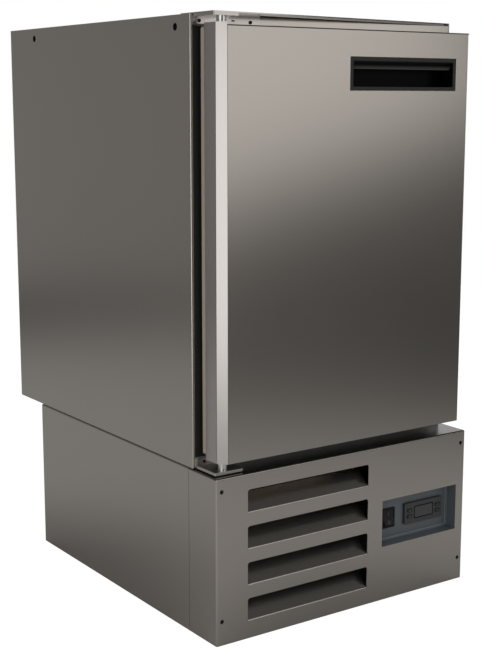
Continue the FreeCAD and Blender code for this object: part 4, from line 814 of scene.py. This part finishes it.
def plate_highlight_bead(sizes):
    """Raised pale line round the flat of the control plate, just inside the coves of its recess: a
    painted highlight where those edges catch light.
    """
    front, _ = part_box("controller")
    low, high = recess_reach("control_box", front)
    middle = (low + high) / 2
    half_width = (high.x - low.x) / 2 - sizes.bead_inset
    half_height = (high.z - low.z) / 2 - sizes.bead_inset
    highlight_bead = outlined(flat_oblong(half_width, half_height), sizes.bead_line, sizes.bead_height)
    flat_z = (low.z + front.z) / 2
    highlight_bead = laid_on(highlight_bead, "control_box", middle.x, flat_z)
    bmesh.ops.translate(highlight_bead, vec=(0.0, 0.0, middle.z - flat_z), verts=highlight_bead.verts)
    return highlight_bead


# Operators


def finishes():
    """Colours and roughness set in the sidebar."""
    return bpy.context.scene.counter_finishes


def fittings():
    """Sizes set in the sidebar."""
    return bpy.context.scene.counter_fittings


class COUNTER_OT_cabinet(bpy.types.Operator):
    """Outer panels of the insulated cabinet"""

    bl_idname = "counter.cabinet"
    bl_label = "Cabinet panels"

    def execute(self, context):
        use = finishes()
        steel = brushed("cabinet_sheet", use.steel, use.steel_roughness, upright_grain)
        dress(steel, "left_side_panel", "right_side_panel")
        dress(brushed("top_sheet", use.steel, use.top_roughness, level_grain), "top_panel")
        dress(galvanised_sheet(use), "back_panel", "bottom_panel")
        dress(moulded("insert_plastic", use.black_plastic, 0.5), "joining_inserts")
        return {"FINISHED"}


class COUNTER_OT_storage(bpy.types.Operator):
    """Insulation, liner, breaker strips, runners and shelves"""

    bl_idname = "counter.storage"
    bl_label = "Storage space"

    def execute(self, context):
        use = finishes()
        foam = moulded("rigid_foam", use.foam, 0.85, pebbles=500.0, mottle=0.25, relief=0.0003)
        dress(foam, "insulation", "door_foam")
        satin = brushed("satin_liner", use.inner_steel, 0.34, front_to_back_grain, metallic=0.6)
        dress(satin, "inner_liner", "shelf_runners", "drip_tray", "evaporator_cover")
        dress(moulded("breaker_plastic", use.black_plastic, 0.48), "breaker_frame")
        wire = brushed("plated_wire", use.wire, 0.16, upright_grain, clouds=0.06)
        dress(wire, "lower_shelf", "upper_shelf")
        return {"FINISHED"}


class COUNTER_OT_hinges(bpy.types.Operator):
    """Hinge brackets, gusset, pins, bushes and their screws"""

    bl_idname = "counter.hinges"
    bl_label = "Hinges"

    def execute(self, context):
        use = finishes()
        plate = brushed("bracket_plate", use.bracket, 0.33, level_grain)
        dress(plate, "bottom_hinge_bracket")
        dress(brushed("gusset_plate", use.bracket, 0.12, level_grain), "top_gusset")
        dress(brushed("top_bracket_plate", use.bracket, 0.20, level_grain), "top_hinge_bracket")
        dress(brushed("zinc_pin", use.zinc, 0.28, level_grain, streaks=0.06), "hinge_pins")
        dress(moulded("natural_bush", use.bush, 0.45), "pivot_bushes")
        sizes = fittings()
        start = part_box("top_hinge_bracket")[1].x - sizes.lip_lead
        lip = turned_lip(sizes, "top_gusset", start)
        piece("gusset_lip", lip, "cabinet", plate)
        heads = screw_set(sizes, "hinge_screws", pan_head, sizes.pan_rim + sizes.pan_dome)
        screws = piece("hinge_screw_heads", heads, "cabinet", black_oxide(use))
        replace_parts(screws, "hinge_screws")
        return {"FINISHED"}


class COUNTER_OT_evaporator(bpy.types.Operator):
    """Evaporator coil, fan, motor and guard"""

    bl_idname = "counter.evaporator"
    bl_label = "Evaporator"

    def execute(self, context):
        use = finishes()
        fins = brushed("bare_fins", use.fin, 0.32, upright_grain, streaks=0.14)
        dress(fins, "evaporator_coil", "condenser_coil")
        dress(fan_plastic(use), "evaporator_fan", "evaporator_fan_guard")
        dress(motor_enamel(use), "evaporator_fan_motor")
        return {"FINISHED"}


class COUNTER_OT_base(bpy.types.Operator):
    """Panels of the machinery base, its louvred front and its screws"""

    bl_idname = "counter.base"
    bl_label = "Machinery base"

    def execute(self, context):
        use = finishes()
        steel = brushed("base_sheet", use.steel, use.steel_roughness, level_grain)
        dress(steel, "base_left_panel", "base_right_panel")
        dress(front_sheet(use, fittings()), "front_panel")
        dress(galvanised_sheet(use), "base_floor", "base_rear_panel", "front_posts")
        dress(moulded("seal_rubber", use.rubber, 0.62), "base_seal")
        heads = screw_set(fittings(), "front_panel_screws", sunk_head, head_height=0.0)
        screws = piece("front_panel_screw_heads", heads, "cabinet", black_oxide(use))
        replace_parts(screws, "front_panel_screws")
        return {"FINISHED"}


def dress_controls(use):
    """Finishes of the control plate, the controller and the switch."""
    plate = moulded("slate_plate", use.slate, 0.36, pebbles=1600.0, mottle=0.10)
    dress(plate, "control_box")
    face = moulded("controller_face", use.controller, 0.42, pebbles=2400.0, mottle=0.10)
    dress(face, "controller")
    keys = moulded("key_plastic", use.key, 0.42)
    dress(keys, "set_key", "defrost_key", "up_key", "down_key")
    glossy = {"Coat Weight": 0.6, "Coat Roughness": 0.08}
    window = moulded(
        "display_window", use.window, 0.16, pebbles=900.0, mottle=0.04, relief=0.000004, fixed=glossy
    )
    dress(window, "display_window")
    dull = {"Specular IOR Level": 0.25}
    housing = moulded("switch_plastic", use.switch, 0.38, mottle=0.10, fixed=dull)
    dress(housing, "switch_housing")
    rocker = moulded(
        "rocker_plastic", use.switch, 0.30, pebbles=1800.0, mottle=0.06, relief=0.00002, fixed=dull
    )
    dress(rocker, "switch_rocker")


def add_window_shadow_line(use, sizes):
    """Painted shadow: a black line round the display window, standing for the shade of its recess."""
    low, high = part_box("display_window")
    middle = (low + high) / 2
    border = flat_oblong((high.x - low.x) / 2, (high.z - low.z) / 2)
    border = outlined(border, sizes.window_shadow_width, sizes.mark_height)
    border = laid_on(border, "display_window", middle.x, middle.z)
    # Painted shadow: the line takes the cup's near-black colour
    ink = moulded("window_shadow_paint", use.handle_cup, 0.5, fixed={"Specular IOR Level": 0.1})
    piece("window_shadow_line", border, "cabinet", ink)


def add_key_signs(use, sizes):
    """Plain outlines and triangles in the middle of the keys."""
    ink = moulded("key_ink", use.key_mark, 0.5)
    signs = {
        "up_key": triangle_sign(sizes, turn=0.0),
        "down_key": triangle_sign(sizes, turn=pi),
        "set_key": ring_sign(sizes, sizes.key_mark, segments=4),
        "defrost_key": ring_sign(sizes, sizes.key_mark, segments=6),
    }
    for key, sign in signs.items():
        low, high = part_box(key)
        middle = (low + high) / 2
        piece(key + "_sign", laid_on(sign, key, middle.x, middle.z), key, ink)


def add_rocker_signs(use, sizes):
    """Bar on the upper half of the rocker and ring on its lower half."""
    low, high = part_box("switch_rocker")
    middle = (low + high) / 2
    rise = (high.z - low.z) / 4
    bar = bar_sign(sizes, sizes.rocker_mark)
    bar = laid_on(bar, "switch_rocker", middle.x, middle.z + rise)
    ring = ring_sign(sizes, sizes.rocker_mark, segments=24)
    ring = laid_on(ring, "switch_rocker", middle.x, middle.z - rise)
    ink = moulded("rocker_ink", use.switch_mark, 0.5)
    piece("rocker_signs", joined_bmesh([bar, ring]), "switch_rocker", ink)


class COUNTER_OT_controls(bpy.types.Operator):
    """Recessed control plate, controller with its keys, and rocker switch"""

    bl_idname = "counter.controls"
    bl_label = "Controls"

    def execute(self, context):
        use = finishes()
        sizes = fittings()
        dress_controls(use)
        # Painted highlight: pale colour for the bead along the recess's inner edge
        painted_highlight = moulded("highlight_bead_plastic", use.highlight_bead, 0.4)
        piece("control_plate_highlight_bead", plate_highlight_bead(sizes), "cabinet", painted_highlight)
        add_window_shadow_line(use, sizes)
        add_key_signs(use, sizes)
        add_rocker_signs(use, sizes)
        return {"FINISHED"}


class COUNTER_OT_machinery(bpy.types.Operator):
    """Condenser, compressor, lines and boxes inside the base"""

    bl_idname = "counter.machinery"
    bl_label = "Machinery"

    def execute(self, context):
        use = finishes()
        dress(galvanised_sheet(use), "condenser_shroud")
        dress(fan_plastic(use), "condenser_fan")
        dress(motor_enamel(use), "condenser_fan_motor", "compressor_shell", "compressor_baseplate")
        dress(moulded("soft_rubber", use.rubber, 0.66), "compressor_grommets")
        copper = brushed("bare_copper", use.copper, 0.26, level_grain, streaks=0.12, clouds=0.20)
        dress(copper, "copper_lines", "filter_drier")
        dark = moulded("tray_plastic", use.black_plastic, 0.46)
        dress(dark, "terminal_cover", "cable_gland", "condensate_tray")
        dress(moulded("box_plastic", use.box, 0.46), "junction_box")
        return {"FINISHED"}


class COUNTER_OT_door(bpy.types.Operator):
    """Door skin, stile, inner liner, handle and gasket"""

    bl_idname = "counter.door"
    bl_label = "Door"

    def execute(self, context):
        use = finishes()
        dress(brushed("door_sheet", use.steel, use.steel_roughness, upright_grain), "door_skin")
        dress(brushed("stile_extrusion", use.stile, 0.30, upright_grain, streaks=0.08), "hinge_stile")
        dress(moulded("door_liner_plastic", use.door_liner, 0.42), "door_liner")
        dress(handle_plastic(use, fittings()), "handle_cup")
        soft = moulded("gasket_rubber", use.rubber, 0.60)
        ring = folded_gasket(fittings(), *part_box("door_gasket"))
        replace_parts(piece("folded_gasket", ring, "door", soft), "door_gasket")
        # Partly trim, partly painted shadow: the dark strip gives the dark line along the door's top edge
        strip = edge_strip(fittings(), *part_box("door_skin"))
        piece("door_edge_shadow_strip", strip, "door", soft)
        return {"FINISHED"}


# Stage


def light_path(tree, *labels):
    """Factor that is 1 for any of these kinds of ray."""
    path = add_node(tree, "LightPath")
    factor = path.outputs[labels[0]]
    for label in labels[1:]:
        factor = maths(tree, "MAXIMUM", factor, path.outputs[label])
    return factor


def mixed_shader(tree, factor, first, second):
    """Output of a Mix Shader node."""
    return add_node(tree, "MixShader", factor, first, second).outputs[0]


def grey_light(tree, kind, tone):
    """Plain light of an Emission or Background node."""
    return add_node(tree, kind, (tone, tone, tone, 1.0)).outputs[0]


def studio_world(use):
    """White to the camera and through glass, a quiet studio in the metal, and plain ambient light."""
    world = bpy.data.worlds.new("studio")
    bpy.context.scene.world = world
    world.use_nodes = True
    tree = world.node_tree
    tree.nodes.clear()
    white = grey_light(tree, "Background", 1.0)
    plain = grey_light(tree, "Background", use.ambient)
    way = add_node(tree, "TexCoord").outputs["Generated"]
    towards = vector_maths(tree, "DOT_PRODUCT", way, use.flank_way)["Value"]
    flank = ranged(tree, towards, use.flank_edge, 1.0, 0.0, use.flank_tone, smooth=True)
    wall = ranged(tree, along(tree, way, "Y"), -1.0, 1.0, use.front_tone, use.rear_tone)
    horizon = maths(tree, "ADD", wall, flank)
    overhead = ranged(tree, along(tree, way, "Z"), 0.0, 1.0, 1.0, use.zenith)
    studio = add_node(tree, "Background", maths(tree, "MULTIPLY", horizon, overhead)).outputs[0]
    lit = mixed_shader(tree, light_path(tree, "Is Glossy Ray"), plain, studio)
    seen = mixed_shader(tree, light_path(tree, "Is Camera Ray", "Is Transmission Ray"), lit, white)
    add_node(tree, "OutputWorld", seen)


def diffuse(tree, tone):
    """Output of a Diffuse node."""
    return add_node(tree, "BsdfDiffuse", tone).outputs[0]


def distance(tree, point):
    """Distance over the floor from a point."""
    here = add_node(tree, "TexCoord").outputs["Object"]
    return vector_maths(tree, "DISTANCE", here, point)["Value"]


def pale_floor(use):
    """White to the camera with the counter's soft shadow, and lit round the counter in the metal."""
    made = bpy.data.materials.new("pale_floor")
    made.use_nodes = True
    tree = made.node_tree
    tree.nodes.clear()
    away = distance(tree, use.glow_place)
    glow = ranged(tree, away, use.glow_start, use.glow_end, use.floor_near, use.floor_far, smooth=True)
    beside = distance(tree, use.shade_place)
    shade = ranged(tree, beside, use.shade_start, use.shade_end, use.shade_depth, 1.0, smooth=True)
    matt = diffuse(tree, opaque(use.floor_tone))
    quiet = diffuse(tree, maths(tree, "MULTIPLY", glow, shade))
    bounced = mixed_shader(tree, light_path(tree, "Is Glossy Ray"), matt, quiet)
    white = grey_light(tree, "Emission", use.floor_strength)
    shown = mixed_shader(tree, use.floor_white, matt, white)
    seen = light_path(tree, "Is Camera Ray", "Is Transmission Ray")
    add_node(tree, "OutputMaterial", mixed_shader(tree, seen, bounced, shown))
    return made


def studio_floor(use):
    """Round floor just under the base."""
    bm = bmesh.new()
    down = Matrix.Translation((0.0, 0.0, -use.floor_drop))
    bmesh.ops.create_circle(bm, cap_ends=True, segments=128, radius=use.floor_radius, matrix=down)
    mesh = bpy.data.meshes.new("floor")
    bm.to_mesh(mesh)
    bm.free()
    mesh.materials.append(pale_floor(use))
    floor = bpy.data.objects.new("floor", mesh)
    bpy.context.scene.collection.objects.link(floor)


def soft_lamp(name, location, target, size, watts, roll=0.0):
    """Rectangular lamp that faces a point and stays out of the picture."""
    lamp = bpy.data.lights.new(name, "AREA")
    lamp.shape = "RECTANGLE"
    lamp.size, lamp.size_y = size.xy
    lamp.energy = watts
    made = bpy.data.objects.new(name, lamp)
    made.location = location
    aim = (target - location).to_track_quat("-Z", "Y")
    made.rotation_euler = (aim @ Quaternion((0.0, 0.0, 1.0), roll)).to_euler()
    made.visible_camera = False
    bpy.context.scene.collection.objects.link(made)


class COUNTER_OT_stage(bpy.types.Operator):
    """Floor, studio light and camera"""

    bl_idname = "counter.stage"
    bl_label = "Stage"

    def execute(self, context):
        use = context.scene.counter_stage
        context.scene.view_settings.view_transform = "Standard"
        studio_world(use)
        studio_floor(use)
        soft_lamp(
            "front_lamp", use.front_place, use.front_aim, use.front_size, use.front_power, use.front_roll
        )
        soft_lamp("side_lamp", use.side_place, use.side_aim, use.side_size, use.side_power)
        soft_lamp("rear_lamp", use.rear_place, use.rear_aim, use.rear_size, use.rear_power)
        soft_lamp("top_lamp", use.top_place, use.top_aim, use.top_size, use.top_power)
        camera = bpy.data.cameras.new("photo_camera")
        camera.lens = use.camera_lens
        made = bpy.data.objects.new("photo_camera", camera)
        made.location = use.camera_place
        made.rotation_euler = use.camera_turn
        context.scene.collection.objects.link(made)
        context.scene.camera = made
        return {"FINISHED"}


# Panel and registration


class COUNTER_PT_sidebar(bpy.types.Panel):
    """Pieces, finishes and stage of the freezer counter"""

    bl_idname = "COUNTER_PT_sidebar"
    bl_label = "Freezer Counter"
    bl_space_type = "VIEW_3D"
    bl_region_type = "UI"
    bl_category = "Freezer Counter"

    def draw(self, context):
        for operator in operators:
            self.layout.operator(operator.bl_idname)
        for group in (finishes(), fittings(), context.scene.counter_stage):
            column = self.layout.column()
            for name in group.__annotations__:
                column.prop(group, name)


operators = (
    COUNTER_OT_cabinet,
    COUNTER_OT_storage,
    COUNTER_OT_hinges,
    COUNTER_OT_evaporator,
    COUNTER_OT_base,
    COUNTER_OT_controls,
    COUNTER_OT_machinery,
    COUNTER_OT_door,
    COUNTER_OT_stage,
)
groups = {
    "counter_finishes": CounterFinishes,
    "counter_fittings": CounterFittings,
    "counter_stage": CounterStage,
}


def register():
    """Adds the classes and the settings on the scene."""
    for made in (*groups.values(), *operators, COUNTER_PT_sidebar):
        bpy.utils.register_class(made)
    for name, group in groups.items():
        setattr(bpy.types.Scene, name, PointerProperty(type=group))


def unregister():
    """Takes the settings and the classes away again."""
    for name in groups:
        delattr(bpy.types.Scene, name)
    for made in (COUNTER_PT_sidebar, *reversed(operators), *groups.values()):
        bpy.utils.unregister_class(made)


def main():
    """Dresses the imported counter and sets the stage."""
    register()
    bpy.ops.counter.cabinet()
    bpy.ops.counter.storage()
    bpy.ops.counter.hinges()
    bpy.ops.counter.evaporator()
    bpy.ops.counter.base()
    bpy.ops.counter.controls()
    bpy.ops.counter.machinery()
    bpy.ops.counter.door()
    bpy.ops.counter.stage()


if __name__ == "__main__":
    main()
